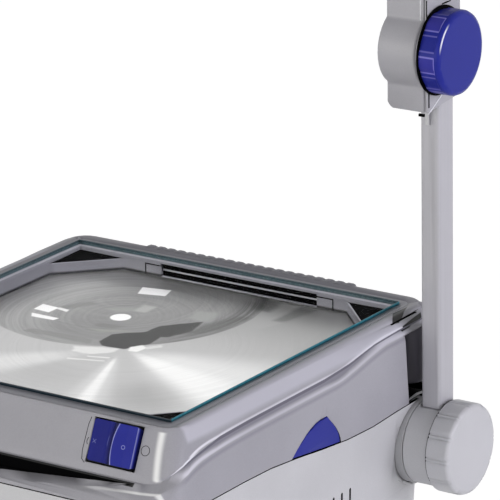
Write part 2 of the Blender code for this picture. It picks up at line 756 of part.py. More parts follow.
def make_upper_casing():
    """The lid's shell: a loft of rings down the outside and back up the inside."""
    ledge_drop = LID_TOP_DROP + FRAME_FLANGE + GAP
    opening = (FRAME_HALF + GAP, FRAME_FRONT + GAP, FRAME_REAR + GAP, FRAME_CORNER + GAP)
    ledge = tuple(size - LID_LEDGE_WIDTH for size in opening[:3])
    groove_mean = (RIDGE_GROOVE_HALF + RIDGE_HALF) / 2

    def above_ridge(y):
        return ridge_drop(y, -GROOVE_STEP)

    def below_ridge(y):
        return (ridge_drop(y) + second_ridge_drop(y)) / 2

    def under_ridge(y):
        return second_ridge_drop(y, UNDER_RIDGE_STEP)

    rings = [
        casing_ring(*opening, LID_TOP_DROP),
        casing_ring(LID_TOP_HALF, LID_TOP_FRONT, LID_TOP_REAR, LID_TOP_CORNER, LID_TOP_DROP),
        casing_ring(LID_SHOULDER_HALF, LID_SHOULDER_FRONT, LID_SHOULDER_REAR, LID_TOP_CORNER,
                    LID_SHOULDER_DROP),
        casing_ring(groove_mean - GROOVE_DEPTH, panel_front(PANEL_DROP - GROOVE_STEP),
                    BODY_REAR - GROOVE_DEPTH, LID_TOP_CORNER, above_ridge),
        casing_ring(RIDGE_HALF, PANEL_EDGE_FRONT, BODY_REAR - GROOVE_DEPTH / 2, BODY_CORNER, ridge_drop),
        casing_ring(RIDGE_GROOVE_HALF, PANEL_EDGE_FRONT + GAP, BODY_REAR - GROOVE_DEPTH / 2, BODY_CORNER,
                    below_ridge),
        casing_ring(SECOND_RIDGE_HALF, LIP_FRONT, BODY_REAR, BODY_CORNER, second_ridge_drop),
        casing_ring(UNDER_RIDGE_HALF, LIP_LOWER_FRONT, BODY_REAR, BODY_CORNER, under_ridge),
        casing_ring(BODY_HALF, BODY_FRONT, BODY_REAR, BODY_CORNER, seam_drop, BODY_REAR_CORNER),
        casing_ring(BODY_HALF - WALL, BODY_FRONT - WALL, BODY_REAR - WALL, BODY_CORNER, seam_drop,
                    BODY_REAR_CORNER),
        casing_ring(RIDGE_GROOVE_HALF - WALL, LIP_FRONT - WALL, BODY_REAR - WALL, BODY_CORNER, under_ridge),
        casing_ring(RIDGE_GROOVE_HALF - WALL, PANEL_EDGE_FRONT - WALL, BODY_REAR - WALL, BODY_CORNER,
                    ridge_drop),
        casing_ring(LID_SHOULDER_HALF - WALL, LID_SHOULDER_FRONT - WALL / 2, LID_SHOULDER_REAR - WALL,
                    LID_TOP_CORNER, ledge_drop + LID_LEDGE_THICKNESS),
        casing_ring(*ledge, FRAME_CORNER, ledge_drop + LID_LEDGE_THICKNESS),
        casing_ring(*ledge, FRAME_CORNER, ledge_drop),
        casing_ring(*opening, ledge_drop),
    ]
    return loft("upper_casing", rings)


def add_grip_ribs(casing):
    """Rounded ribs along the rear edge of the lid, for lifting it."""
    radius = GRIP_PITCH * GRIP_RADIUS_SHARE
    half = GRIP_COUNT * GRIP_PITCH / 2
    top = GLASS_HEIGHT - LID_TOP_DROP
    outline = [(half, top - GRIP_ROOT)]
    for index in range(GRIP_COUNT):
        centre = half - (index + 0.5) * GRIP_PITCH
        for step in range(GRIP_ARC_STEPS + 1):
            angle = math.pi * step / GRIP_ARC_STEPS
            outline.append((centre + radius * math.cos(angle), top + GRIP_RISE * math.sin(angle)))
    outline.append((-half, top - GRIP_ROOT))
    upright = Matrix.Rotation(math.pi / 2, 4, "X")
    ribs = plate("grip_ribs", [outline], GRIP_REAR_INSET - BODY_REAR, GRIP_REACH - LID_TOP_REAR, upright)
    return join(casing, ribs)


def notch_box(name):
    """The space that the arm's notch takes out of the lid."""
    low = (BODY_HALF - NOTCH_DEPTH, NOTCH_START, GLASS_HEIGHT - seam_drop(NOTCH_START) - OVERRUN)
    high = (BODY_HALF + OVERRUN, BODY_REAR + OVERRUN, GLASS_HEIGHT - NOTCH_TOP_DROP)
    return block(name, low, high)


def window_box(name):
    """The slit between the rim and the ridge, which leaves the ridge as a bridge over the notch."""
    start = NOTCH_START - WINDOW_AHEAD
    low = (LID_SHOULDER_HALF + WINDOW_INSET, start, GLASS_HEIGHT - NOTCH_TOP_DROP - GAP)
    high = (RIDGE_HALF - BAND_THICKNESS, start + WINDOW_LENGTH, GLASS_HEIGHT)
    return block(name, low, high)


def make_corner_fairing():
    """The dark liner of the arm's notch, with a round column that hangs from the rim."""
    inner = BODY_HALF - NOTCH_DEPTH - GAP
    outer = RIDGE_GROOVE_HALF - WALL - GAP
    start = NOTCH_START - GAP
    reach = inner - (BODY_HALF - BODY_REAR_CORNER)
    rise = math.sqrt((BODY_REAR_CORNER - WALL) ** 2 - reach ** 2)
    end = BODY_REAR - BODY_REAR_CORNER + rise - FAIRING_WALL
    wall = FAIRING_WALL
    outline = [(outer, start), (inner, start), (inner, end), (inner - wall, end),
               (inner - wall, start - wall), (outer, start - wall)]
    foot = max(GLASS_HEIGHT - seam_drop(NOTCH_START) + wall, HUB_HEIGHT + BOSS_RADIUS + GAP)
    top = GLASS_HEIGHT - NOTCH_TOP_DROP - GAP
    fairing = plate("corner_fairing", [outline], foot, top)
    column = drum("fairing_column", COLUMN_RADIUS, GLASS_HEIGHT - COLUMN_FOOT_DROP, top,
                  at(inner - wall / 2, COLUMN_CENTRE_Y, 0), sides=20)
    soften(column, COLUMN_RADIUS / 4, 2)
    trim = block("column_trim", (inner - COLUMN_RADIUS - OVERRUN, start, foot - OVERRUN),
                 (inner - wall, end, top + OVERRUN))
    cut(column, trim)
    return join(fairing, column)


def crescent(half, depth, top=RECESS_TOP_DROP):
    """The outline of the front recess or its insert: straight above, an arc below."""
    points = []
    for step in range(RECESS_STEPS + 1):
        share = -1 + 2 * step / RECESS_STEPS
        points.append((half * share, -top - depth * (1 - share * share)))
    return points[::-1]


def make_front_recess(casing):
    """Add the finger recess's pocket under the front panel, cut it out and return its black insert."""
    place = Matrix.Translation((0, 0, GLASS_HEIGHT)) @ Matrix.Rotation(math.pi / 2, 4, "X")
    face = PANEL_EDGE_FRONT - RECESS_SET_BACK
    floor = face - TRIM_THICKNESS - GAP
    half = RECESS_HALF + WALL
    brow = WALL - RECESS_TOP_DROP
    outline = [*crescent(half, RECESS_DEPTH + WALL), (-half, brow), (half, brow)]
    liner = plate("recess_liner", [outline], floor - WALL, BODY_FRONT, place)
    skin = WALL / 2
    rings = [
        casing_ring(LID_SHOULDER_HALF - skin, LID_SHOULDER_FRONT - skin, LID_SHOULDER_REAR, LID_TOP_CORNER,
                    LID_SHOULDER_DROP),
        casing_ring(RIDGE_HALF - skin, PANEL_EDGE_FRONT - skin, BODY_REAR, BODY_CORNER, PANEL_DROP),
        casing_ring(SECOND_RIDGE_HALF - skin, LIP_FRONT - skin, BODY_REAR, BODY_CORNER,
                    SECOND_RIDGE_DROP + SECOND_RIDGE_FRONT_FALL),
        casing_ring(BODY_HALF - skin, BODY_FRONT - skin, BODY_REAR, BODY_CORNER, SEAM_DROP),
    ]
    combine(liner, loft("liner_limit", rings, closed=False), "INTERSECT")
    join(casing, liner)
    pocket = crescent(RECESS_HALF, RECESS_DEPTH)
    cut(casing, plate("front_recess", [pocket], floor, BODY_FRONT + OVERRUN, place))
    outline = crescent(RECESS_HALF - INSERT_END_GAP, RECESS_DEPTH - 2 * GAP, RECESS_TOP_DROP + GAP)
    return plate("front_insert", [outline], face - TRIM_THICKNESS, face, place)


def panel_place(x, drop):
    """The panel's own axes: local X along the front, local Y up the slope, local Z out of it."""
    slope = Matrix.Rotation(math.pi / 2 - PANEL_SLOPE, 4, "X")
    return at(x, -panel_front(drop), GLASS_HEIGHT - drop) @ slope


def make_rocker(casing):
    """The mains rocker, its opening, its pin and the switch body under it."""
    place = panel_place(ROCKER_CENTRE_X, ROCKER_CENTRE_DROP)
    half = ROCKER_WIDTH / 2
    reach = ROCKER_LENGTH / 2
    gap = ROCKER_CLEARANCE
    opening = block("rocker_opening", (-half - gap, -reach - gap, -ROCKER_STEM_DEPTH),
                    (half + gap, reach + gap, OVERRUN), place)
    cut(casing, opening)
    heights = (ROCKER_LOW, ROCKER_DISH, ROCKER_DISH, ROCKER_FLANK, ROCKER_CREST, ROCKER_CREST, ROCKER_HIGH,
               ROCKER_HIGH)
    top = [(half * share, height) for share, height in zip(ROCKER_SHARES, heights)]
    outline = [(-half, -ROCKER_UNDER), (half, -ROCKER_UNDER), *top[::-1]]
    upright = place @ Matrix.Rotation(math.pi / 2, 4, "X")
    rocker = plate("rocker", [outline], -reach, reach, upright)
    stem_reach = reach * ROCKER_STEM_SHARE
    join(rocker, block("rocker_stem", (-ROCKER_STEM_HALF, -stem_reach, -ROCKER_STEM_DEPTH),
                       (ROCKER_STEM_HALF, stem_reach, -ROCKER_UNDER + ROCKER_DISH), place))
    ear_start = stem_reach + GAP
    bore = Matrix.Translation((0, 0, -ROCKER_AXIS_DEPTH)) @ TURN_TO_Y
    cut(rocker, drum("rocker_bore", ROCKER_PIN_RADIUS + GAP, -reach, reach, place @ bore, sides=12))
    pin_reach = ear_start + SWITCH_EAR
    body = block("switch_body", (-SWITCH_WIDTH / 2, -pin_reach, -SWITCH_TOP_DEPTH - SWITCH_HEIGHT),
                 (SWITCH_WIDTH / 2, pin_reach, -SWITCH_TOP_DEPTH), place)
    for side in (-1, 1):
        low, high = sorted((side * ear_start, side * pin_reach))
        join(body, block("switch_ear", (-SWITCH_EAR_HALF, low, -SWITCH_TOP_DEPTH - OVERRUN),
                         (SWITCH_EAR_HALF, high, -ROCKER_UNDER - ROCKER_CLEARANCE), place))
    cut(body, drum("switch_bore", ROCKER_PIN_RADIUS + GAP, -reach, reach, place @ bore, sides=12))
    pin = drum("rocker_pin", ROCKER_PIN_RADIUS, -pin_reach, pin_reach, place @ bore, sides=12)
    return rocker, body, pin, place


def latch_outline(side, grow=0.0, below=0.0):
    """The latch button's sail shape on the seam, in distance along the side and height off the desk."""
    start, end = LATCH_START - grow, LATCH_END + grow
    tip = LATCH_RISE + grow
    foot = LATCH_FOOT
    shares = [step / LATCH_ARC_STEPS for step in range(1, LATCH_ARC_STEPS)]
    curve = [math.sin(share * math.pi / 2) for share in shares]
    points = [(start, foot)]
    points += [(start + (LATCH_TIP - start) * share, foot + (tip - foot) * bow)
               for share, bow in zip(shares, curve)]
    points.append((LATCH_TIP, tip))
    points += [(LATCH_TIP + (end - LATCH_TIP) * bow, tip - (tip - foot) * share)
               for share, bow in zip(shares, curve)]
    points += [(end, foot), *between((end, foot - below), (start, foot - below), LATCH_FOOT_STEPS)]
    if below:
        points.insert(-LATCH_FOOT_STEPS + 1, (end, foot - below))
        points.append((start, foot - below))
    return [(side * u, GLASS_HEIGHT - seam_drop(u) + v) for u, v in reversed(points)]


def make_latch(casing, side):
    """A latch button in the lid's side wall, with the stem that its spring pushes on."""
    name = "latch_button_right" if side > 0 else "latch_button_left"
    place = Matrix(((0, 0, side, 0), (side, 0, 0, 0), (0, 1, 0, 0), (0, 0, 0, 1)))
    outline = latch_outline(side)
    opening = latch_outline(side, LATCH_CLEARANCE, OVERRUN)
    face = BODY_HALF - WALL / 2 + LATCH_PROUD
    cut(casing, plate("latch_opening", [opening], face - LATCH_THICKNESS - LATCH_STEM_LENGTH / 4,
                      BODY_HALF + OVERRUN, place))
    button = plate(name, [outline], face - LATCH_THICKNESS, face, place)
    middle = side * (LATCH_START + LATCH_END) / 2
    half = LATCH_STEM_WIDTH / 2
    stem = GLASS_HEIGHT - SEAM_DROP + LATCH_STEM_RISE
    low, high = stem - LATCH_STEM_HEIGHT / 2, stem + LATCH_STEM_HEIGHT / 2
    back = face - LATCH_THICKNESS
    stem_end = back - LATCH_STEM_LENGTH
    join(button, block("latch_stem", (middle - half, low, stem_end), (middle + half, high, back + GAP),
                       place))
    return button


upper_casing = make_upper_casing()
add_grip_ribs(upper_casing)
cut(upper_casing, notch_box("arm_notch"))
cut(upper_casing, window_box("ridge_window"))
corner_fairing = make_corner_fairing()
front_insert = make_front_recess(upper_casing)
rocker, switch_body, rocker_pin, rocker_place = make_rocker(upper_casing)
latches = [make_latch(upper_casing, side) for side in (1, -1)]
finish(upper_casing, GREY_SHARES, 0.42)
finish(corner_fairing, DARK_GREY_SHARES, 0.5)
finish(front_insert, BLACK_SHARES, 0.4)
finish(rocker, BLUE_SHARES, 0.25)
finish(switch_body, BLACK_SHARES, 0.6)
finish(rocker_pin, METAL_SHARES, 0.3, 1.0)
for latch in latches:
    finish(latch, BLUE_SHARES, 0.3)
for piece in (upper_casing, corner_fairing, front_insert, switch_body, rocker_pin, *latches):
    hold(piece, lid_pivot)
rocker_pivot = pivot("rocker_axis", rocker_place @ Vector((0, 0, -ROCKER_AXIS_DEPTH)), lid_pivot)
hold(rocker, rocker_pivot)


# Lid: stage frame, glass, Fresnel lens and slot bar

def make_stage_frame():
    """The dark frame: a flange round the glass, and an eight-sided well down to the Fresnel lens."""
    flange_drop = LID_TOP_DROP + FRAME_FLANGE
    recess_half = GLASS_HALF + GAP
    recess_drop = GLASS_THICKNESS + GAP
    mouth = GLASS_HALF - GLASS_LIP
    seat_drop = LENS_DROP + LENS_THICKNESS + GAP
    foot_drop = seat_drop + LENS_LEDGE_THICKNESS
    outside = mouth + WELL_WALL
    ledge = mouth - LENS_LEDGE
    edge = GLASS_EDGE

    def square(half, drop, corner):
        return casing_ring(half, half, half, corner, drop, level=True)

    def eight_sided(half, drop, corner):
        return casing_ring(half, half, half, corner, drop, diagonal=True, level=True)

    rings = [
        casing_ring(FRAME_HALF, FRAME_FRONT, FRAME_REAR, FRAME_CORNER, LID_TOP_DROP, level=True),
        casing_ring(FRAME_HALF, FRAME_FRONT, FRAME_REAR, FRAME_CORNER, flange_drop, level=True),
        square(outside, flange_drop, WELL_WALL),
        square(outside, foot_drop, WELL_WALL),
        eight_sided(ledge, foot_drop, WELL_CORNER),
        eight_sided(ledge, seat_drop, WELL_CORNER),
        eight_sided(mouth, seat_drop, WELL_CORNER),
        eight_sided(mouth, GUSSET_DROP, WELL_CORNER),
        square(mouth, GUSSET_DROP - edge, edge),
        square(mouth, recess_drop, edge),
        square(recess_half, recess_drop, edge),
        square(recess_half, LID_TOP_DROP, edge),
    ]
    frame = loft("stage_frame", rings)
    slot_top = GLASS_HEIGHT - SLOT_TOP_DROP
    slot = block("bar_slot", (SLOT_CENTRE_X - SLOT_HALF_LENGTH, mouth - OVERRUN, slot_top - SLOT_HEIGHT),
                 (SLOT_CENTRE_X + SLOT_HALF_LENGTH, outside + OVERRUN, slot_top))
    return cut(frame, slot)


def make_slot_bar():
    """The light bar behind the slot in the well's rear wall, held by a tab at each end."""
    wall = GLASS_HALF - GLASS_LIP + WELL_WALL + GAP
    line = GLASS_HEIGHT - BAR_DROP
    tab_top = GLASS_HEIGHT - SLOT_TOP_DROP
    half = SLOT_HALF_LENGTH + BAR_TAB
    bar = block("slot_bar", (SLOT_CENTRE_X - half, wall, line - BAR_HEIGHT / 2),
                (SLOT_CENTRE_X + half, wall + BAR_THICKNESS, line + BAR_HEIGHT / 2))
    for side in (-1, 1):
        ends = (side * (SLOT_HALF_LENGTH + BAR_TAB / 3), side * (half + BAR_TAB / 3))
        low, high = sorted(SLOT_CENTRE_X + end for end in ends)
        join(bar, block("bar_tab", (low, wall, tab_top - SLOT_HEIGHT),
                        (high, wall + 2 * BAR_THICKNESS, tab_top)))
    return bar


def make_fresnel_lens():
    """The eight-sided Fresnel plate that rests on the well's ledge."""
    half = GLASS_HALF - GLASS_LIP - GAP
    rings = [casing_ring(half, half, half, WELL_CORNER, drop, diagonal=True, level=True)
             for drop in (LENS_DROP, LENS_DROP + LENS_THICKNESS)]
    lens = loft("fresnel_lens", rings, closed=False)
    tidy = lens.modifiers.new("tidy", "DECIMATE")
    tidy.decimate_type = "DISSOLVE"
    tidy.angle_limit = math.radians(1)
    return lens


def make_stage_glass():
    """The glass plate, with its edges ground off."""
    return block("stage_glass", (-GLASS_HALF, -GLASS_HALF, GLASS_HEIGHT - GLASS_THICKNESS),
                 (GLASS_HALF, GLASS_HALF, GLASS_HEIGHT), edge=GLASS_EDGE, segments=1)


stage_frame = finish(make_stage_frame(), DARK_GREY_SHARES, 0.5)
slot_bar = finish(make_slot_bar(), METAL_SHARES, 0.35, 0.8)
fresnel_lens = finish(make_fresnel_lens(), GLASS_SHARES, 0.1)
stage_glass = finish(make_stage_glass(), GLASS_SHARES, 0.03)
for piece in (stage_frame, slot_bar, fresnel_lens, stage_glass):
    hold(piece, lid_pivot)


# Base: lower casing, base plate and feet

def make_lower_casing():
    """The base's shell: a waisted loft with a step, from the seam down to the base plate."""
    foot_drop = GLASS_HEIGHT - FOOT_HEIGHT - BASE_THICKNESS - 2 * GAP
    step_foot = CASING_STEP_DROP + CASING_STEP_RISE
    waist = (CASING_WAIST_HALF, CASING_WAIST_FRONT, CASING_WAIST_REAR)
    tucked = tuple(size - CASING_STEP for size in waist)
    foot = (CASING_FOOT_HALF, CASING_FOOT_FRONT, CASING_FOOT_REAR)
    top = (BODY_HALF, BODY_FRONT, BODY_REAR)
    corners = (BODY_CORNER, BODY_REAR_CORNER)

    def ring(sizes, drop, shrink=0.0):
        return casing_ring(*(size - shrink for size in sizes), corners[0], drop, corners[1])

    def top_drop(y):
        return seam_drop(y, SEAM_GAP)

    rings = [
        ring(top, top_drop),
        ring((HINGE_WALL_HALF, BODY_FRONT - GAP, BODY_REAR), HINGE_WALL_DROP),
        ring(waist, CASING_STEP_DROP),
        ring(tucked, step_foot),
        ring(foot, foot_drop),
        ring(foot, foot_drop, WALL),
        ring(tucked, step_foot + WALL, WALL),
        ring(waist, CASING_STEP_DROP - WALL, WALL + CASING_STEP / 2),
        ring((HINGE_WALL_HALF, BODY_FRONT - GAP, BODY_REAR), HINGE_WALL_DROP, WALL),
        ring(top, top_drop, WALL),
    ]
    casing = loft("lower_casing", rings)
    hub = at(HUB_FACE_X, HUB_Y, HUB_HEIGHT) @ TURN_TO_X
    room = HUB_PLATE_RADIUS + 2 * GAP
    join(casing, drum("hub_boss", BOSS_RADIUS, -HUB_BOSS_LENGTH, HUB_BOSS_RISE, hub, sides=32))
    cut(casing, drum("hub_recess", room, -GAP, HUB_PLATE_THICKNESS, hub, sides=32))
    cut(casing, drum("hub_bolt_bore", BOLT_RADIUS + GAP, -HUB_BOSS_LENGTH - OVERRUN, OVERRUN, hub, sides=16))
    return casing


def vent_cutters(name, places, width, length, depth):
    """Round-ended slot cutters, each centred on a place's origin and cutting along its local Z."""
    outline = rounded(-width / 2, width / 2, -length / 2, length / 2, width / 2, 1)
    return [plate(name, [outline], -depth / 2, depth / 2, place) for place in places]


def cut_vents(casing):
    """Slots in the right side, for the fan, and in the rear."""
    side_z = GLASS_HEIGHT - SIDE_VENT_TOP_DROP - SIDE_VENT_HEIGHT / 2
    reach = BODY_HALF - CASING_WAIST_HALF + 4 * WALL
    lean = Matrix.Rotation(SIDE_VENT_SLANT, 4, "X")
    facing = lean @ Matrix.Rotation(math.pi / 2, 4, "Z") @ Matrix.Rotation(math.pi / 2, 4, "X")
    places = [at(CASING_WAIST_HALF, SIDE_VENT_REAR - SIDE_VENT_PITCH * index, side_z) @ facing
              for index in range(SIDE_VENT_COUNT)]
    for slot in vent_cutters("side_vent", places, SIDE_VENT_WIDTH, SIDE_VENT_HEIGHT, 2 * reach):
        cut(casing, slot)
    rear_z = GLASS_HEIGHT - REAR_VENT_TOP_DROP - REAR_VENT_HEIGHT / 2
    upright = Matrix.Rotation(math.pi / 2, 4, "X")
    places = [at(REAR_VENT_START + REAR_VENT_PITCH * index, CASING_WAIST_REAR, rear_z) @ upright
              for index in range(REAR_VENT_COUNT)]
    for slot in vent_cutters("rear_vent", places, SIDE_VENT_WIDTH, REAR_VENT_HEIGHT, 2 * reach):
        cut(casing, slot)


def make_base_plate():
    """The bottom plate, with slots that let the fan's air in."""
    half = CASING_FOOT_HALF - BASE_INSET
    front = -CASING_FOOT_FRONT + BASE_INSET
    rear = CASING_FOOT_REAR - BASE_INSET
    outline = rounded(-half, half, front, rear, BODY_CORNER)
    slots = []
    half_length, half_width = BASE_VENT_LENGTH / 2, BASE_VENT_WIDTH / 2
    for index in range(BASE_VENT_COUNT):
        middle = BASE_VENT_MIDDLE + (index - (BASE_VENT_COUNT - 1) / 2) * BASE_VENT_PITCH
        slots.append(rounded(-half_length, half_length, middle - half_width, middle + half_width,
                             half_width, 2))
    return plate("base_plate", [outline, *slots], FOOT_HEIGHT, FOOT_HEIGHT + BASE_THICKNESS)


def make_feet():
    """Four rubber feet under the base plate."""
    feet = []
    spots = (("front_left", -1, -1), ("front_right", 1, -1), ("rear_left", -1, 1), ("rear_right", 1, 1))
    top = FOOT_HEIGHT - GAP
    for name, side_x, side_y in spots:
        x = side_x * (CASING_FOOT_HALF - FOOT_INSET_X)
        y = side_y * (CASING_FOOT_REAR - FOOT_INSET_Y) - (FOOT_INSET_Y / 2 if side_y < 0 else 0)
        profile = [(0, top), (FOOT_RADIUS, top), (FOOT_RADIUS, FOOT_EDGE), (FOOT_RADIUS - FOOT_EDGE, 0),
                   (0, 0)]
        feet.append(finish(turned(f"foot_{name}", profile, at(x, y, 0), steps=20), BLACK_SHARES, 0.8))
    return feet


lower_casing = make_lower_casing()
cut_vents(lower_casing)
base_plate = finish(make_base_plate(), DARK_GREY_SHARES, 0.5)
feet = make_feet()
for piece in (base_plate, *feet):
    hold(piece, origin)


# Lid hinges at the rear

def make_hinge(side, name):
    """One rear hinge: a base leaf and a lid leaf, each with its knuckle, and the pin through both."""
    x = side * HINGE_X
    axis = at(x, HINGE_Y, HINGE_HEIGHT) @ TURN_TO_X
    bore = HINGE_PIN_RADIUS + GAP
    wall = BODY_REAR + GAP
    seam = GLASS_HEIGHT - seam_drop(BODY_REAR)
    leaves = []
    for body, near, far, low, high in (
            ("base", -HINGE_KNUCKLE, -GAP, seam - HINGE_LEAF_HEIGHT, HINGE_HEIGHT),
            ("lid", GAP, HINGE_KNUCKLE, HINGE_HEIGHT, seam + HINGE_LEAF_HEIGHT)):
        leaf = block(f"hinge_{body}_{name}", (x + near, wall, low), (x + far, wall + HINGE_LEAF, high))
        join(leaf, drum("hinge_knuckle", HINGE_RADIUS, near, far, axis, sides=20))
        cut(leaf, drum("hinge_bore", bore, near - OVERRUN, far + OVERRUN, axis, sides=12))
        leaves.append(finish(leaf, METAL_SHARES, 0.4, 0.9))
    pin = drum(f"hinge_pin_{name}", HINGE_PIN_RADIUS, -HINGE_KNUCKLE, HINGE_KNUCKLE, axis, sides=12)
    leaves.append(finish(pin, METAL_SHARES, 0.3, 1.0))
    return leaves


for hinge_side, hinge_name in ((-1, "left"), (1, "right")):
    base_leaf, lid_leaf, hinge_pin = make_hinge(hinge_side, hinge_name)
    hold(base_leaf, origin)
    hold(hinge_pin, origin)
    hold(lid_leaf, lid_pivot)


# Arm hub: plate, bolt, barrel and clamp knob

def grooved_radius(angle):
    """The clamp knob's radius at an angle: round, with pairs of narrow grooves."""
    pitch = 2 * math.pi / KNOB_GROOVES
    offset = (angle + pitch / 2) % pitch - pitch / 2
    for centre in (-KNOB_GROOVE_SPREAD / 2, KNOB_GROOVE_SPREAD / 2):
        if abs(offset - centre) < KNOB_GROOVE_WIDTH / 2:
            return KNOB_RADIUS - KNOB_GROOVE
    return KNOB_RADIUS


def groove_angles():
    """Stations round the clamp knob: four at each groove and a few on the plain stretches."""
    pitch = 2 * math.pi / KNOB_GROOVES
    edge = KNOB_GROOVE_WIDTH / 2
    offsets = []
    for centre in (-KNOB_GROOVE_SPREAD / 2, KNOB_GROOVE_SPREAD / 2):
        offsets += [centre + edge * share for share in GROOVE_EDGE_SHARES]
    offsets += [pitch * share for share in GROOVE_PLAIN_SHARES]
    return [index * pitch + offset for index in range(KNOB_GROOVES) for offset in sorted(offsets)]


def knob_rings(radii, angles, levels):
    """Rings for a knob: each level gives a height and how far the rim is drawn in there."""
    rings = []
    for height, inset in levels:
        ring = [((radius - inset) * math.cos(angle), (radius - inset) * math.sin(angle), height)
                for radius, angle in zip(radii, angles)]
        rings.append(ring)
    return rings


def rim_levels(length, edge):
    """Heights and insets of a knob's rim, from its rounded face down to its back."""
    quarter = math.pi / 2
    levels = []
    for share in RIM_SHARES:
        turn = quarter * share
        levels.append((length - edge + edge * math.sin(turn), edge * (1 - math.cos(turn))))
    return [*levels, (GAP, 0.0), (0.0, GAP)]


def ring_of(name, radius, bore, low, high, place):
    """A thick ring about local Z with its outer edges broken."""
    edge = HUB_PLATE_EDGE
    profile = [(bore, high), (radius - edge, high), (radius, high - edge), (radius, low + edge),
               (radius - edge, low), (bore, low)]
    return turned(name, profile, place, steps=32, closed=True)


def make_hub():
    """The hub plate on the base, the bolt, the arm's barrel and the clamp knob."""
    place = at(HUB_FACE_X, HUB_Y, HUB_HEIGHT) @ TURN_TO_X
    bore = BOLT_RADIUS + GAP
    low = HUB_PLATE_THICKNESS + GAP
    high = low + BARREL_LENGTH
    hub_plate = ring_of("hub_plate", HUB_PLATE_RADIUS, bore, 0, HUB_PLATE_THICKNESS, place)
    barrel = ring_of("hub_barrel", BARREL_RADIUS, bore, low, high, place)
    seat = HUB_HEIGHT + POST_SEAT
    grow = 2 * GAP
    socket = plate("post_socket", [rounded(POST_X - POST_WIDTH / 2 - grow, POST_X + POST_WIDTH / 2 + grow,
                                           POST_Y - POST_DEPTH / 2 - grow, POST_Y + POST_DEPTH / 2 + grow,
                                           POST_CORNER)], seat - GAP, HUB_HEIGHT + BARREL_RADIUS + OVERRUN)
    cut(barrel, socket)
    start = high + GAP
    knob_bolt = BOLT_HEAD_RADIUS + GAP
    angles = groove_angles()
    radii = [grooved_radius(angle) for angle in angles]
    rings = knob_rings(radii, angles, rim_levels(KNOB_LENGTH, KNOB_EDGE))
    knob = loft("clamp_knob", rings, place @ at(0, 0, start), closed=False)
    cut(knob, drum("knob_socket", knob_bolt, -OVERRUN, BOLT_GRIP / 2 + BOLT_HEAD_LENGTH + GAP,
                   place @ at(0, 0, start), sides=24))
    back = -HUB_BOSS_LENGTH - GAP
    bolt_top = start + BOLT_GRIP / 2
    head = bolt_top + BOLT_HEAD_LENGTH
    bolt = turned("hub_bolt", [(0, head), (BOLT_HEAD_RADIUS, head), (BOLT_HEAD_RADIUS, bolt_top),
                               (BOLT_RADIUS, bolt_top), (BOLT_RADIUS, back), (BOLT_HEAD_RADIUS, back),
                               (BOLT_HEAD_RADIUS, back - BOLT_HEAD_LENGTH), (0, back - BOLT_HEAD_LENGTH)],
                  place, steps=16)
    finish(hub_plate, DARK_GREY_SHARES, 0.5)
    finish(barrel, LIGHT_GREY_SHARES, 0.45)
    finish(knob, LIGHT_GREY_SHARES, 0.35)
    finish(bolt, METAL_SHARES, 0.3, 1.0)
    return hub_plate, barrel, knob, bolt


hub_plate, hub_barrel, clamp_knob, hub_bolt = make_hub()
finish(lower_casing, LIGHT_GREY_SHARES, 0.45)
for piece in (lower_casing, hub_plate, hub_bolt):
    hold(piece, origin)
hold(hub_barrel, arm_pivot)
knob_pivot = pivot("clamp_knob_axis", (HUB_FACE_X, HUB_Y, HUB_HEIGHT), arm_pivot)
hold(clamp_knob, knob_pivot)


# Post, rack and cap

def make_post():
    """The hollow post, with a slot down its front face for the rack."""
    left, right = POST_X - POST_WIDTH / 2, POST_X + POST_WIDTH / 2
    front, rear = POST_FRONT_Y, POST_FRONT_Y + POST_DEPTH
    outline = rounded(left, right, front, rear, POST_CORNER, 4)
    floor = front + RACK_SLOT_DEPTH + POST_WALL
    inside = rounded(left + POST_WALL, right - POST_WALL, floor, rear - POST_WALL, POST_INNER_CORNER, 2)
    low = HUB_HEIGHT + POST_SEAT
    post = plate("post", [outline, inside], low, POST_TOP)
    half = RACK_WIDTH / 2 + GAP
    reach = RACK_LENGTH / 2 + GAP
    middle = PINION_HEIGHT + RACK_LIFT_TEETH * math.pi * TOOTH_MODULE
    slot = block("rack_slot", (POST_X - half, front - OVERRUN, middle - reach),
                 (POST_X + half, front + RACK_SLOT_DEPTH, middle + reach))
    return cut(post, slot)


def make_rack():
    """The toothed rack in the post's slot."""
    pitch = math.pi * TOOTH_MODULE
    tip = TOOTH_MODULE * TOOTH_TIP_SHARE
    root = TOOTH_MODULE * TOOTH_ROOT_SHARE
    lean = math.tan(PRESSURE_ANGLE)
    half_tooth = pitch / 4 - TOOTH_BACKLASH / 2
    count = int(RACK_LENGTH / pitch)
    start = -count * pitch / 2
    back = POST_FRONT_Y + RACK_SLOT_DEPTH - GAP
    points = [(back, start)]
    for index in range(count):
        middle = start + (index + 0.5) * pitch
        points += [(PITCH_LINE_Y + root, middle - half_tooth - root * lean),
                   (PITCH_LINE_Y - tip, middle - half_tooth + tip * lean),
                   (PITCH_LINE_Y - tip, middle + half_tooth - tip * lean),
                   (PITCH_LINE_Y + root, middle + half_tooth + root * lean)]
    points.append((back, -start))
    height = PINION_HEIGHT + RACK_LIFT_TEETH * pitch
    place = Matrix(((0, 0, 1, POST_X), (1, 0, 0, 0), (0, 1, 0, height), (0, 0, 0, 1)))
    return plate("rack", [points], -RACK_WIDTH / 2, RACK_WIDTH / 2, place)


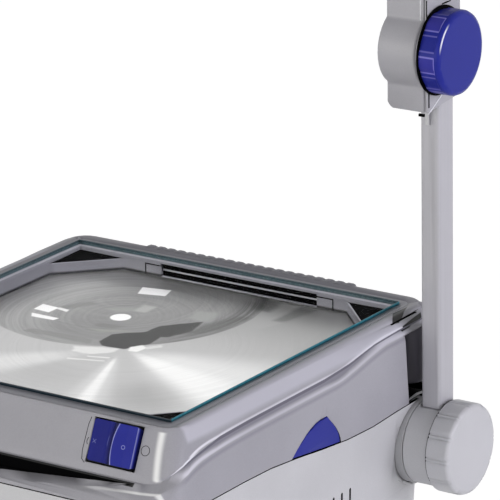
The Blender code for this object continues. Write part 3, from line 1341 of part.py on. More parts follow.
def make_post_cap():
    """The cap in the post's open top."""
    left, right = POST_X - POST_WIDTH / 2, POST_X + POST_WIDTH / 2
    front, rear = POST_FRONT_Y, POST_FRONT_Y + POST_DEPTH
    low = POST_TOP + GAP
    cap = plate("post_cap", [rounded(left, right, front, rear, POST_CORNER, 4)], low, low + CAP_THICKNESS)
    inset = POST_WALL + 2 * GAP
    floor = front + RACK_SLOT_DEPTH + POST_WALL
    outline = rounded(left + inset, right - inset, floor + GAP, rear - inset, POST_INNER_CORNER, 2)
    return join(cap, plate("cap_plug", [outline], POST_TOP - CAP_PLUG, low + CAP_THICKNESS / 2))


post = finish(make_post(), LIGHT_GREY_SHARES, 0.4)
rack = finish(make_rack(), METAL_SHARES, 0.4, 0.9)
post_cap = finish(make_post_cap(), DARK_GREY_SHARES, 0.5)
for piece in (post, rack, post_cap):
    hold(piece, arm_pivot)


# Focus mechanism

def involute(base, radius):
    """The involute angle at a radius."""
    cosine = min(base / radius, 1.0)
    return math.tan(math.acos(cosine)) - math.acos(cosine)


def pinion_outline():
    """A spur gear's outline with involute flanks, and a tooth space facing local +U for the rack's tooth."""
    base = PINION_RADIUS * math.cos(PRESSURE_ANGLE)
    tip = PINION_RADIUS + TOOTH_MODULE * TOOTH_TIP_SHARE
    root = PINION_RADIUS - TOOTH_MODULE * TOOTH_ROOT_SHARE
    pitch = 2 * math.pi / PINION_TEETH
    half = pitch / 4 - TOOTH_BACKLASH / 2 / PINION_RADIUS + involute(base, PINION_RADIUS)
    start = max(base, root)
    radii = [start + (tip - start) * step / FLANK_STEPS for step in range(FLANK_STEPS + 1)]
    points = []
    for tooth in range(PINION_TEETH):
        middle = (tooth + 0.5) * pitch
        points.append((root, middle - half))
        points += [(radius, middle - half + involute(base, radius)) for radius in radii]
        points += [(radius, middle + half - involute(base, radius)) for radius in reversed(radii)]
        points.append((root, middle + half))
    return [(radius * math.cos(angle), radius * math.sin(angle)) for radius, angle in points]


def fluted_radius(angle):
    """The radius of the focus knob's drum at an angle: round, with shallow flats for the fingers."""
    pitch = 2 * math.pi / FLUTE_COUNT
    offset = abs((angle + pitch / 2) % pitch - pitch / 2)
    edge = smooth((FLUTE_HALF_ANGLE - offset) / (FLUTE_HALF_ANGLE / 5))
    return FOCUS_KNOB_RADIUS - FLUTE_DEPTH * edge


def make_focus():
    """The blue knob, the shaft and the pinion, which turn together."""
    axis = at(0, PINION_AXIS_Y, PINION_HEIGHT) @ TURN_TO_X
    angles = [2 * math.pi * index / KNOB_STATIONS for index in range(KNOB_STATIONS)]
    levels = rim_levels(FOCUS_KNOB_LENGTH, FOCUS_KNOB_EDGE)
    rim = [*levels[:len(RIM_SHARES)], (FLUTE_HEIGHT, 0.0)]
    fluted = [(FLUTE_HEIGHT - FLUTE_STEP, 0.0), *levels[len(RIM_SHARES):]]
    rings = knob_rings([FOCUS_KNOB_RADIUS] * KNOB_STATIONS, angles, rim)
    rings += knob_rings([fluted_radius(angle) for angle in angles], angles, fluted)
    start = CARRIAGE_RIGHT + FOCUS_KNOB_GAP
    knob = loft("focus_knob", rings, axis @ at(0, 0, start), closed=False)
    depth = FOCUS_KNOB_LENGTH / 2
    cut(knob, drum("knob_bore", SHAFT_RADIUS + GAP, -OVERRUN, depth + GAP, axis @ at(0, 0, start), sides=16))
    pinion_low = POST_X - PINION_WIDTH / 2
    shaft_low = CARRIAGE_LEFT + WALL + CARRIAGE_EDGE
    shaft = drum("pinion_shaft", SHAFT_RADIUS, shaft_low, start + depth, axis, sides=16)
    quarter = Matrix.Rotation(math.pi / 2, 4, "Z")
    pinion = plate("pinion", [pinion_outline()], pinion_low, pinion_low + PINION_WIDTH, axis @ quarter)
    cut(pinion, drum("pinion_bore", SHAFT_RADIUS + GAP, pinion_low - OVERRUN,
                     pinion_low + PINION_WIDTH + OVERRUN, axis, sides=16))
    finish(knob, BLUE_SHARES, 0.25)
    finish(shaft, METAL_SHARES, 0.3, 1.0)
    finish(pinion, LIGHT_GREY_SHARES, 0.5)
    return knob, shaft, pinion


focus_knob, pinion_shaft, pinion = make_focus()
for piece in (focus_knob, pinion_shaft, pinion):
    hold(piece, focus_pivot)


# Head carriage

def carriage_outline(inset=0.0):
    """The carriage from the side: a bulge round the knob's axis, and a foot that rises towards the rear."""
    front = CARRIAGE_FRONT + inset
    rear = CARRIAGE_REAR - inset
    radius = BULGE_RADIUS - inset
    reach = PINION_AXIS_Y - front
    turn = math.acos(reach / radius)
    bulge = arc(PINION_AXIS_Y, PINION_HEIGHT, radius, math.pi - turn, math.pi + turn, 12)
    return [(front, CARRIAGE_TOP - inset), *bulge, (front, CARRIAGE_FOOT + inset),
            (rear, CARRIAGE_FOOT + CARRIAGE_FOOT_RISE + inset), (rear, CARRIAGE_TOP - inset)]


def make_carriage():
    """The carriage body, hollow for the gear and bored for the post, and its side cover."""
    place = Matrix(((0, 0, 1, 0), (1, 0, 0, 0), (0, 1, 0, 0), (0, 0, 0, 1)))
    seam = CARRIAGE_RIGHT - COVER_THICKNESS
    body = plate("carriage_body", [carriage_outline()], CARRIAGE_LEFT, seam - GAP, place)
    soften(body, CARRIAGE_EDGE, 2, math.radians(50))
    grow = 2 * GAP
    passage = plate("post_passage", [rounded(POST_X - POST_WIDTH / 2 - grow, POST_X + POST_WIDTH / 2 + grow,
                                             POST_FRONT_Y - grow, POST_FRONT_Y + POST_DEPTH + grow,
                                             POST_CORNER, 4)],
                    CARRIAGE_FOOT - OVERRUN, CARRIAGE_TOP + OVERRUN)
    cut(body, passage)
    axis = at(0, PINION_AXIS_Y, PINION_HEIGHT) @ TURN_TO_X
    outside = CARRIAGE_RIGHT + OVERRUN
    bore = SHAFT_RADIUS + GAP
    room_low = POST_X - PINION_WIDTH / 2 - 2 * GAP
    cut(body, drum("gear_room", GEAR_ROOM_RADIUS, room_low, outside, axis, sides=24))
    cut(body, drum("shaft_bore", bore, CARRIAGE_LEFT + WALL, outside, axis, sides=16))
    corner = CARRIAGE_CHAMFER * math.sqrt(2)
    turn = at(CARRIAGE_LEFT, CARRIAGE_FRONT, CARRIAGE_FOOT) @ Matrix.Rotation(math.pi / 4, 4, "Y")
    chamfer = block("foot_chamfer", (-corner, -OVERRUN - BULGE_RADIUS, -corner / 2),
                    (corner, CARRIAGE_REAR, corner / 2), turn)
    cut(body, chamfer)
    cover = plate("carriage_cover", [carriage_outline(GAP)], seam, CARRIAGE_RIGHT, place)
    soften(cover, CARRIAGE_EDGE / 2, 1, math.radians(50))
    cut(cover, drum("cover_bore", bore, seam - OVERRUN, outside, axis, sides=16))
    left = POST_X - GUIDE_STRIP_LEFT
    right = left + GUIDE_STRIP_WIDTH
    front = POST_FRONT_Y - grow - GUIDE_STRIP_THICKNESS
    low, high = CARRIAGE_FOOT - GUIDE_STRIP_DROP, CARRIAGE_FOOT + GUIDE_STRIP_DROP
    cut(body, block("strip_channel", (left - GAP, front - GAP, low), (right + GAP, POST_FRONT_Y, high + GAP)))
    strip = block("guide_strip", (left, front, low), (right, POST_FRONT_Y - grow, high))
    finish(body, GREY_SHARES, 0.42)
    finish(cover, LIGHT_GREY_SHARES, 0.42)
    finish(strip, LIGHT_GREY_SHARES, 0.5)
    return body, cover, strip


def make_head_arm():
    """The flat arm from the carriage to the lens barrel."""
    root = Vector((CARRIAGE_LEFT - GAP, HEAD_ARM_ROOT_Y))
    low, high = HEAD_ARM_LOW, HEAD_ARM_LOW + HEAD_ARM_HEIGHT
    half = HEAD_ARM_WIDTH / 2
    tip = HEAD_ARM_TIP_WIDTH / 2
    along = Vector((root.x, root.y)).normalized()
    across = Vector((-along.y, along.x))
    outline = [tuple(-across * tip), (root.x, root.y - half), (root.x, CARRIAGE_REAR),
               tuple(along * root.length / 2 + across * half), tuple(across * tip)]
    arm = plate("head_arm", [outline], low, high)
    soften(arm, HEAD_ARM_EDGE, 2)
    tube = BARREL_TUBE_RADIUS + GAP
    join(arm, drum("barrel_collar", tube + HEAD_COLLAR_WALL, low + HEAD_ARM_EDGE, high - HEAD_ARM_EDGE,
                   at(0, 0, 0), sides=40))
    cut(arm, drum("barrel_room", tube, low - OVERRUN, high + OVERRUN, at(0, 0, 0), sides=48))
    return finish(arm, GREY_SHARES, 0.42)


def make_lens_barrel():
    """The lens barrel: a tube with a ledge for the lens."""
    outer = BARREL_TUBE_RADIUS
    inner = outer - BARREL_TUBE_WALL
    low, high = BARREL_TUBE_LOW, BARREL_TUBE_LOW + BARREL_TUBE_HEIGHT
    ledge = LENS_RADIUS - BARREL_LIP
    seat = low + BARREL_LIP
    profile = [(inner, high), (outer - GAP, high), (outer, high - GAP), (outer, low + GAP),
               (outer - GAP, low), (ledge, low), (ledge, seat), (inner, seat)]
    return finish(turned("lens_barrel", profile, at(0, 0, 0), steps=32, closed=True), BLACK_SHARES, 0.45)


def lens_profile(centre_thickness, edge_thickness, radius, base, bulge_up):
    """A lens with one flat and one domed face, from the top down."""
    sag = centre_thickness - edge_thickness
    dome = [(radius * share, sag * (1 - share * share)) for share in LENS_RING_SHARES]
    if bulge_up:
        top = [(u, base + edge_thickness + v) for u, v in dome]
        return [*top, (radius, base), (0, base)]
    bottom = [(u, base + sag - v) for u, v in dome]
    top = base + sag + edge_thickness
    return [(0, top), (radius, top), *bottom[::-1]]


def make_lenses():
    """The two lenses of the head, flat faces outwards."""
    radius = BARREL_TUBE_RADIUS - BARREL_TUBE_WALL - GAP
    base = BARREL_TUBE_LOW + BARREL_LIP + GAP
    upper_base = base + LENS_CENTRE + LENS_SPACING
    profiles = [lens_profile(LENS_CENTRE, LENS_EDGE, radius, base, True),
                lens_profile(LENS_CENTRE, LENS_EDGE, radius, upper_base, False)]
    lower = turned("lens_lower", profiles[0], at(0, 0, 0), steps=24)
    upper = turned("lens_upper", profiles[1], at(0, 0, 0), steps=24)
    finish(lower, GLASS_SHARES, 0.03)
    finish(upper, GLASS_SHARES, 0.03)
    return lower, upper


def mirror_place():
    """The mirror's own axes at rest: origin on its hinge, local X along it, local Y up the mirror."""
    return at(0, MIRROR_HINGE_Y, MIRROR_HINGE_HEIGHT) @ Matrix.Rotation(math.pi - MIRROR_ANGLE, 4, "X")


def make_mirror():
    """The mirror in its frame, which turns on a pin between two ears on the barrel's bracket."""
    place = mirror_place()
    half = MIRROR_WIDTH / 2
    start = MIRROR_EAR_RADIUS
    end = start + MIRROR_LENGTH
    thickness = MIRROR_FRAME_THICKNESS
    frame = block("mirror_frame", (-half, start, -thickness / 2), (half, end, thickness / 2), place,
                  edge=MIRROR_EDGE)
    floor = thickness / 2 - MIRROR_THICKNESS - GAP
    recess = block("mirror_recess", (-half + MIRROR_BORDER, start + MIRROR_BORDER, floor),
                   (half - MIRROR_BORDER, end - MIRROR_BORDER, thickness / 2 + OVERRUN), place)
    cut(frame, recess)
    inner = MIRROR_EAR_SPREAD - MIRROR_EAR - GAP
    axis = place @ TURN_TO_X
    join(frame, block("frame_tongue", (-inner, 0, -thickness / 2),
                      (inner, start + MIRROR_EDGE * 2, thickness / 2), place))
    join(frame, drum("frame_knuckle", MIRROR_EAR_RADIUS, -inner, inner, axis, sides=20))
    bore = MIRROR_PIN_RADIUS + GAP
    cut(frame, drum("frame_bore", bore, -inner - OVERRUN, inner + OVERRUN, axis, sides=12))
    border = MIRROR_BORDER + GAP
    glass = block("mirror_glass", (-half + border, start + border, thickness / 2 - MIRROR_THICKNESS),
                  (half - border, end - border, thickness / 2), place)
    finish(frame, GREY_SHARES, 0.45)
    finish(glass, METAL_SHARES, 0.03, 1.0)
    return frame, glass


def make_mirror_bracket():
    """The bracket behind the barrel with two ears, and the mirror's pin."""
    axis = at(0, MIRROR_HINGE_Y, MIRROR_HINGE_HEIGHT) @ TURN_TO_X
    low = HEAD_ARM_LOW + HEAD_ARM_HEIGHT + GAP
    front = MIRROR_HINGE_Y - 2 * MIRROR_EAR_RADIUS
    rear = MIRROR_HINGE_Y + MIRROR_EAR_RADIUS
    top = BARREL_TUBE_LOW + BARREL_TUBE_HEIGHT - MIRROR_EAR
    bracket = block("mirror_bracket", (-MIRROR_EAR_SPREAD, front, low), (MIRROR_EAR_SPREAD, rear, top))
    for side in (-1, 1):
        near, far = sorted((side * (MIRROR_EAR_SPREAD - MIRROR_EAR), side * MIRROR_EAR_SPREAD))
        join(bracket, block("mirror_ear", (near, front, top - OVERRUN), (far, rear, MIRROR_HINGE_HEIGHT)))
        join(bracket, drum("mirror_ear_round", MIRROR_EAR_RADIUS, near, far, axis, sides=20))
    cut(bracket, drum("bracket_room", BARREL_TUBE_RADIUS + GAP, low - OVERRUN, MIRROR_HINGE_HEIGHT + OVERRUN,
                      at(0, 0, 0), sides=48))
    cut(bracket, drum("bracket_bore", MIRROR_PIN_RADIUS + GAP, -MIRROR_WIDTH, MIRROR_WIDTH, axis, sides=12))
    pin = drum("mirror_pin", MIRROR_PIN_RADIUS, -MIRROR_EAR_SPREAD, MIRROR_EAR_SPREAD, axis, sides=12)
    finish(bracket, DARK_GREY_SHARES, 0.5)
    finish(pin, METAL_SHARES, 0.3, 1.0)
    return bracket, pin


carriage_body, carriage_cover, guide_strip = make_carriage()
head_arm = make_head_arm()
lens_barrel = make_lens_barrel()
lens_lower, lens_upper = make_lenses()
mirror_frame, mirror_glass = make_mirror()
mirror_bracket, mirror_pin = make_mirror_bracket()
for piece in (carriage_body, carriage_cover, guide_strip, head_arm, lens_barrel, lens_lower, lens_upper,
              mirror_bracket, mirror_pin):
    hold(piece, head_pivot)
for piece in (mirror_frame, mirror_glass):
    hold(piece, mirror_pivot)


# Lamp house

BASE_TOP = FOOT_HEIGHT + BASE_THICKNESS + GAP


def make_lamp_house():
    """The heat shield with the condenser lens in its top, and the lamp over its reflector."""
    half = SHIELD_HALF
    top = BASE_TOP + SHIELD_HEIGHT
    wall = SHIELD_WALL
    shield = block("heat_shield", (-half, -half, BASE_TOP), (half, half, top))
    cut(shield, block("shield_room", (-half + wall, -half + wall, BASE_TOP - OVERRUN),
                      (half - wall, half - wall, top - wall - CONDENSER_SEAT)))
    cut(shield, drum("light_hole", CONDENSER_RADIUS - CONDENSER_SEAT, top - SHIELD_HEIGHT / 2, top + OVERRUN,
                     at(0, 0, 0), sides=32))
    cut(shield, drum("lens_seat", CONDENSER_RADIUS + GAP, top - wall, top + OVERRUN, at(0, 0, 0), sides=32))
    low = top - wall + GAP
    profile = lens_profile(CONDENSER_THICKNESS, CONDENSER_RIM, CONDENSER_RADIUS, low, True)
    condenser = turned("condenser_lens", profile, at(0, 0, 0), steps=24)
    outer = REFLECTOR_RADIUS + REFLECTOR_WALL
    hole = math.asin(REFLECTOR_HOLE / REFLECTOR_RADIUS)
    turns = [hole + (REFLECTOR_REACH - hole) * step / REFLECTOR_STEPS for step in range(REFLECTOR_STEPS + 1)]
    dish, back = [[(radius * math.sin(turn), LAMP_HEIGHT - radius * math.cos(turn)) for turn in turns]
                  for radius in (REFLECTOR_RADIUS, outer)]
    reflector = turned("reflector", [*back[::-1], *dish], at(0, 0, 0), steps=24, closed=True)
    stand_top = LAMP_HEIGHT - outer - GAP
    stand = drum("reflector_stand", REFLECTOR_NECK, BASE_TOP, stand_top, at(0, 0, 0), sides=16)
    finish(shield, METAL_SHARES, 0.4, 0.8)
    finish(condenser, GLASS_SHARES, 0.03)
    finish(reflector, METAL_SHARES, 0.1, 1.0)
    finish(stand, METAL_SHARES, 0.4, 0.9)
    return shield, condenser, reflector, stand


def make_lamp():
    """The halogen lamp, lying over the reflector, its pins in the ceramic holder."""
    size = LAMP_HOLDER_SIZE / 2
    low = LAMP_HEIGHT - LAMP_HOLDER_HEIGHT / 2
    holder_x = LAMP_HOLDER_X - LAMP_HOLDER_SIZE / 2
    face = LAMP_HOLDER_X
    holder = block("lamp_holder", (holder_x, -size, low), (face, size, low + LAMP_HOLDER_HEIGHT))
    join(holder, block("holder_leg", (holder_x, -size, BASE_TOP), (holder_x + size / 2, size, low + size)))
    axis = at(face, 0, LAMP_HEIGHT) @ TURN_TO_X
    for side in (-1, 1):
        place = axis @ at(0, side * LAMP_RADIUS / 2, 0)
        cut(holder, drum("pin_hole", LAMP_RADIUS / 6 + GAP, -LAMP_PIN_LENGTH, OVERRUN, place, sides=10))
    body = LAMP_RADIUS
    top = GAP + LAMP_LENGTH
    profile = [(0, top), (body / 2, top - body / 6), (body, top - body), (body, 2 * body),
               (LAMP_NECK, 3 * body / 2), (LAMP_NECK, GAP), (0, GAP)]
    lamp = turned("halogen_lamp", profile, axis, steps=16)
    for side in (-1, 1):
        place = axis @ at(0, side * LAMP_RADIUS / 2, 0)
        join(lamp, drum("lamp_pin", LAMP_RADIUS / 6, -LAMP_PIN_LENGTH + 2 * GAP, body, place, sides=10))
    finish(holder, LIGHT_GREY_SHARES, 0.7)
    finish(lamp, GLASS_SHARES, 0.05)
    return holder, lamp


# Transformer, fan, inlet and interlock

def make_transformer():
    """The transformer: a laminated core round its coil."""
    x, y = TRANSFORMER_X, TRANSFORMER_Y
    core_half = CORE_SIZE / 2
    centre = Vector((x, y, BASE_TOP + core_half.z))
    core = block("transformer_core", centre - core_half, centre + core_half, edge=CORE_EDGE)
    coil_half = COIL_SIZE / 2
    room = coil_half + Vector((GAP, OVERRUN, GAP))
    cut(core, block("coil_room", centre - room, centre + room))
    coil = block("transformer_coil", centre - coil_half, centre + coil_half, edge=CORE_EDGE)
    finish(core, METAL_SHARES, 0.5, 0.8)
    finish(coil, DARK_GREY_SHARES, 0.6)
    return core, coil


def make_fan():
    """The axial fan: a square housing with struts and a spindle, and the impeller that turns on it."""
    centre = at(FAN_X, FAN_Y, BASE_TOP + FAN_SIDE / 2) @ TURN_TO_X
    half = FAN_SIDE / 2
    depth = FAN_DEPTH / 2
    housing = block("fan_housing", (-half, -half, -depth), (half, half, depth), centre)
    cut(housing, drum("fan_throat", FAN_BORE, -depth + FAN_STRUT / 2, depth + OVERRUN, centre, sides=32))
    gap_angle = FAN_STRUT_ANGLE
    for index in range(4):
        start = math.pi / 2 * index + gap_angle
        end = math.pi / 2 * (index + 1) - gap_angle
        outer = arc(0, 0, FAN_BORE - GAP, start, end, 6)
        inner = arc(0, 0, FAN_HUB, end, start, 4)
        cut(housing, plate("fan_window", [[*outer, *inner]], -depth - OVERRUN, -depth + FAN_STRUT, centre))
    spindle_top = depth - FAN_STRUT
    join(housing, drum("fan_spindle", FAN_SPINDLE, -depth + FAN_STRUT / 4, spindle_top, centre, sides=12))
    low = -depth + FAN_STRUT / 2 + FAN_TIP_GAP
    high = depth - FAN_TIP_GAP
    impeller = drum("fan_impeller", FAN_HUB, low, high, centre, sides=24)
    reach = FAN_BORE - FAN_TIP_GAP
    for index in range(FAN_BLADES):
        turn = Matrix.Rotation(2 * math.pi * index / FAN_BLADES, 4, "Z")
        middle = (low + high) / 2
        tilt = at(0, 0, middle) @ turn @ Matrix.Rotation(FAN_BLADE_PITCH, 4, "X")
        width = FAN_BLADE_HALF
        blade = block("fan_blade", (FAN_HUB - OVERRUN / 2, -width, -FAN_BLADE_THICKNESS / 2),
                      (reach, width, FAN_BLADE_THICKNESS / 2), centre @ tilt)
        join(impeller, blade)
    beyond = reach + FAN_BORE
    trim = turned("impeller_trim", [(reach, high), (beyond, high), (beyond, low), (reach, low)], centre,
                  steps=32, closed=True)
    cut(impeller, trim)
    bore = FAN_SPINDLE + GAP
    cut(impeller, drum("impeller_bore", bore, low - OVERRUN, spindle_top + GAP, centre, sides=12))
    finish(housing, BLACK_SHARES, 0.5)
    finish(impeller, BLACK_SHARES, 0.45)
    return housing, impeller, centre


def make_inlet(casing):
    """The mains inlet in the rear wall: a flanged cup with three flat pins, for a removable lead."""
    half_width = INLET_WIDTH / 2
    half_tall = INLET_TALL / 2
    face = CASING_WAIST_REAR + CASING_STEP
    place = at(INLET_X, face, INLET_HEIGHT) @ Matrix.Rotation(-math.pi / 2, 4, "X")
    gap = GAP
    cut(casing, block("inlet_opening", (-half_width - gap, -half_tall - gap, -INLET_DEPTH),
                      (half_width + gap, half_tall + gap, OVERRUN), place))
    flange = INLET_FLANGE
    inlet = block("mains_inlet", (-half_width, -half_tall, -INLET_DEPTH),
                  (half_width, half_tall, INLET_WALL), place)
    join(inlet, block("inlet_flange", (-half_width - flange, -half_tall - flange, gap),
                      (half_width + flange, half_tall + flange, INLET_WALL + gap), place))
    wall = INLET_WALL
    cut(inlet, block("inlet_cup", (-half_width + wall, -half_tall + wall, -INLET_DEPTH + wall),
                     (half_width - wall, half_tall - wall, INLET_WALL + OVERRUN), place))
    pin_half = INLET_PIN_WIDTH / 2
    thin = INLET_PIN_THICKNESS / 2
    for index, rise in ((-1, -half_tall / 4), (0, half_tall / 4), (1, -half_tall / 4)):
        x = index * INLET_PIN_SPACING
        join(inlet, block("inlet_pin", (x - thin, rise - pin_half, -INLET_DEPTH + wall / 2),
                          (x + thin, rise + pin_half, -INLET_DEPTH + INLET_PIN_LENGTH), place))
    return finish(inlet, BLACK_SHARES, 0.4)


def make_interlock():
    """The switch that cuts the lamp when the lid is lifted, on the lower casing's front wall."""
    rear = -BODY_FRONT + WALL + 2 * GAP
    top = GLASS_HEIGHT - INTERLOCK_DROP
    size = INTERLOCK_SIZE
    box = block("interlock_switch", (INTERLOCK_X, rear + GAP, top - size.z),
                (INTERLOCK_X + size.x, rear + GAP + size.y, top))
    slot = Vector((size.x / 4, size.y / 4, size.z / 2))
    cut(box, block("interlock_slot", (INTERLOCK_X + slot.x, rear + slot.y, top - slot.z),
                   (INTERLOCK_X + size.x - slot.x, rear + size.y - slot.y, top + OVERRUN)))
    return finish(box, BLACK_SHARES, 0.5)


fixed = [*make_lamp_house(), *make_lamp(), *make_transformer()]
fan_housing, fan_impeller, fan_place = make_fan()
fixed += [fan_housing, make_inlet(lower_casing), make_interlock()]
for piece in fixed:
    hold(piece, origin)
fan_pivot = pivot("fan_axis", fan_place.to_translation(), origin)
hold(fan_impeller, fan_pivot)

# Last, move the whole part so that its origin is at the middle of its box on the desk
for piece in PARTS.objects:
    if piece.type == "MESH":
        piece.data.shade_smooth()
        piece.data.set_sharp_from_angle(angle=math.radians(32))
origin.matrix_world = at(-(BOX_LEFT + BOX_RIGHT) / 2, -(BOX_FRONT + BOX_REAR) / 2, 0)
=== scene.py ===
"""Overhead projector with a hinged stage lid, a folding arm and a rack-and-pinion focus, ready to render.

Metres, +Z up, front towards -Y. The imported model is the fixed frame. Each visible piece is a merged and
shaded copy of its solid or a finer mesh in the same place, and rides on the same body.
"""

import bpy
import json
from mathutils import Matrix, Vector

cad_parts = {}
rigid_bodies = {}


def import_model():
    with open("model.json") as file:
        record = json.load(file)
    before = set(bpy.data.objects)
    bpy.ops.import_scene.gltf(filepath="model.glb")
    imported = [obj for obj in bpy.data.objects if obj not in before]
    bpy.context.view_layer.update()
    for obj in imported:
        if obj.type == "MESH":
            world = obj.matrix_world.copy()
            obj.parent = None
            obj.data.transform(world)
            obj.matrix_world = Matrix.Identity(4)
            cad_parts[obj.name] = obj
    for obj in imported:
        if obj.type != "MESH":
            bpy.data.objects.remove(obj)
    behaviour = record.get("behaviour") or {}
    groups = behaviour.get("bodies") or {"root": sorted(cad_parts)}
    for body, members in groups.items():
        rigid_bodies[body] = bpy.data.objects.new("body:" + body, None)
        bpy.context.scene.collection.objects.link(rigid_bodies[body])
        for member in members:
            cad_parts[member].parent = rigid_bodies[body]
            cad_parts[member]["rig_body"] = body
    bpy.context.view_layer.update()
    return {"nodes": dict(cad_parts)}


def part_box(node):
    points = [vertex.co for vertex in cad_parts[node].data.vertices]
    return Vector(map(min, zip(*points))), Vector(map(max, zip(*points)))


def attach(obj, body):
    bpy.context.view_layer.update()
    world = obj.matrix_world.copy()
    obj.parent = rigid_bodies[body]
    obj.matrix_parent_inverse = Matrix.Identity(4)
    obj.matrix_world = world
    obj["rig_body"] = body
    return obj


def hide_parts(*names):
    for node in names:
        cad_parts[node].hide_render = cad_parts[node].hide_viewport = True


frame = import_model()

import json
import logging
import math
from collections.abc import Callable
from dataclasses import dataclass, field
from enum import Enum

import bmesh
import bpy
from mathutils import Matrix, Vector
from mathutils.bvhtree import BVHTree

LOG = logging.getLogger("projector")
Socket = bpy.types.NodeSocket
Colour = tuple[float, float, float]
MERGE = 0.00001
WHITE = (1.0, 1.0, 1.0)
PANEL_LEAN = math.atan(0.443)


class Side(Enum):
    """The two hands of a mirrored piece."""

    LEFT = -1
    RIGHT = 1


def glass_centre() -> Vector:
    """Returns the middle of the glass's top face, from which the sizes of the lid are measured."""
    low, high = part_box("stage_glass")
    return Vector(((low.x + high.x) / 2, (low.y + high.y) / 2, high.z))


def linear(code: str) -> Colour:
    """Turns a written colour into linear light.

    Args:
        code: Six hexadecimal digits, red first.

    Returns:
        The three linear values.
    """
    parts = [int(code[start:start + 2], 16) / 255 for start in (0, 2, 4)]
    return tuple(part / 12.92 if part <= 0.04045 else ((part + 0.055) / 1.055) ** 2.4 for part in parts)


def within(value: float, limits: tuple[float, float]) -> bool:
    """Tells whether a value lies between two limits."""
    return limits[0] < value < limits[1]


class Signal:
    """A value or colour inside a material. Arithmetic on it adds Math nodes."""

    def __init__(self, net: "Network", socket: Socket) -> None:
        """Wraps an output of a node."""
        self.net = net
        self.socket = socket

    def __add__(self, other: object) -> "Signal":
        """Returns the sum."""
        return self.net.math("ADD", self, other)

    def __sub__(self, other: object) -> "Signal":
        """Returns the difference."""
        return self.net.math("SUBTRACT", self, other)

    def __rsub__(self, other: object) -> "Signal":
        """Returns the difference from a constant."""
        return self.net.math("SUBTRACT", other, self)

    def __mul__(self, other: object) -> "Signal":
        """Returns the product."""
        return self.net.math("MULTIPLY", self, other)

    def __pow__(self, other: float) -> "Signal":
        """Returns the power."""
        return self.net.math("POWER", self, other)

    def __abs__(self) -> "Signal":
        """Returns the value without its sign."""
        return self.net.math("ABSOLUTE", self)

    def rise(self, low: float, high: float, share: float = 1.0) -> "Signal":
        """Goes smoothly from 0 at low to a share at high."""
        return self.net.step(self, low, high, 0.0, share)

    def fall(self, low: float, high: float, share: float = 1.0) -> "Signal":
        """Goes smoothly from a share at low to 0 at high."""
        return self.net.step(self, low, high, share, 0.0)

    def line(self, place: float, inner: float, outer: float, share: float = 1.0) -> "Signal":
        """Marks what is near a place, in full up to the inner distance."""
        return abs(self - place).fall(inner, outer, share)


class Network:
    """A tree of shader nodes, with short ways to add the nodes that are used most."""

    def __init__(self, tree: bpy.types.NodeTree) -> None:
        """Empties a tree.

        Args:
            tree: The tree of a material or of the surround.
        """
        self.tree = tree
        self.tree.nodes.clear()

    def node(self, kind: str, settings: dict[str, object] | None = None,
             values: dict[object, object] | None = None) -> bpy.types.Node:
        """Adds a node.

        Args:
            kind: The node's type.
            settings: Its properties.
            values: Its inputs, each a constant, a signal or a socket.

        Returns:
            The node.
        """
        made = self.tree.nodes.new(kind)
        for key, value in (settings or {}).items():
            setattr(made, key, value)
        for key, value in (values or {}).items():
            self.feed(made.inputs[key], value)
        return made

    def feed(self, target: Socket, value: object) -> None:
        """Links an output to an input, or sets the input's own value.

        Args:
            target: The input.
            value: A constant, a signal or a socket.
        """
        if isinstance(value, Signal):
            value = value.socket
        if isinstance(value, Socket):
            self.tree.links.new(value, target)
        elif isinstance(value, tuple) and target.type == "RGBA":
            target.default_value = (*value, 1.0)
        else:
            target.default_value = value

    def signal(self, node: bpy.types.Node, output: object = 0) -> Signal:
        """Wraps one output of a node."""
        return Signal(self, node.outputs[output])

    def math(self, operation: str, *values: object, clamp: bool = False) -> Signal:
        """Adds a Math node."""
        settings = {"operation": operation, "use_clamp": clamp}
        return self.signal(self.node("ShaderNodeMath", settings, dict(enumerate(values))))

    def step(self, value: object, low: float, high: float, start: float = 0.0, end: float = 1.0) -> Signal:
        """Maps a value smoothly from one range to another.

        Args:
            value: The value.
            low: Where the smooth step starts.
            high: Where it ends.
            start: The result at and below low.
            end: The result at and above high.

        Returns:
            The mapped value.
        """
        values = dict(enumerate((value, low, high, start, end)))
        return self.signal(self.node("ShaderNodeMapRange", {"interpolation_type": "SMOOTHSTEP"}, values))

    def axes(self, place: object) -> list[Signal]:
        """Splits coordinates into their three axes."""
        split = self.node("ShaderNodeSeparateXYZ", None, {0: place})
        return [self.signal(split, index) for index in range(3)]

    def length(self, first: Signal, second: Signal) -> Signal:
        """Returns the length of the long side over two square ones."""
        return self.math("SQRT", first ** 2.0 + second ** 2.0)

    def rays(self, *names: str) -> Signal:
        """Marks what is seen by some kinds of ray.

        Args:
            names: The kinds, as the outputs are called.

        Returns:
            A share of 0 or 1.
        """
        path = self.node("ShaderNodeLightPath")
        seen = self.signal(path, names[0])
        for name in names[1:]:
            seen = self.math("ADD", seen, self.signal(path, name), clamp=True)
        return seen

    def mixed(self, share: Signal, first: bpy.types.Node, second: bpy.types.Node) -> Signal:
        """Mixes two surfaces."""
        values = {0: share, 1: first.outputs[0], 2: second.outputs[0]}
        return self.signal(self.node("ShaderNodeMixShader", None, values))


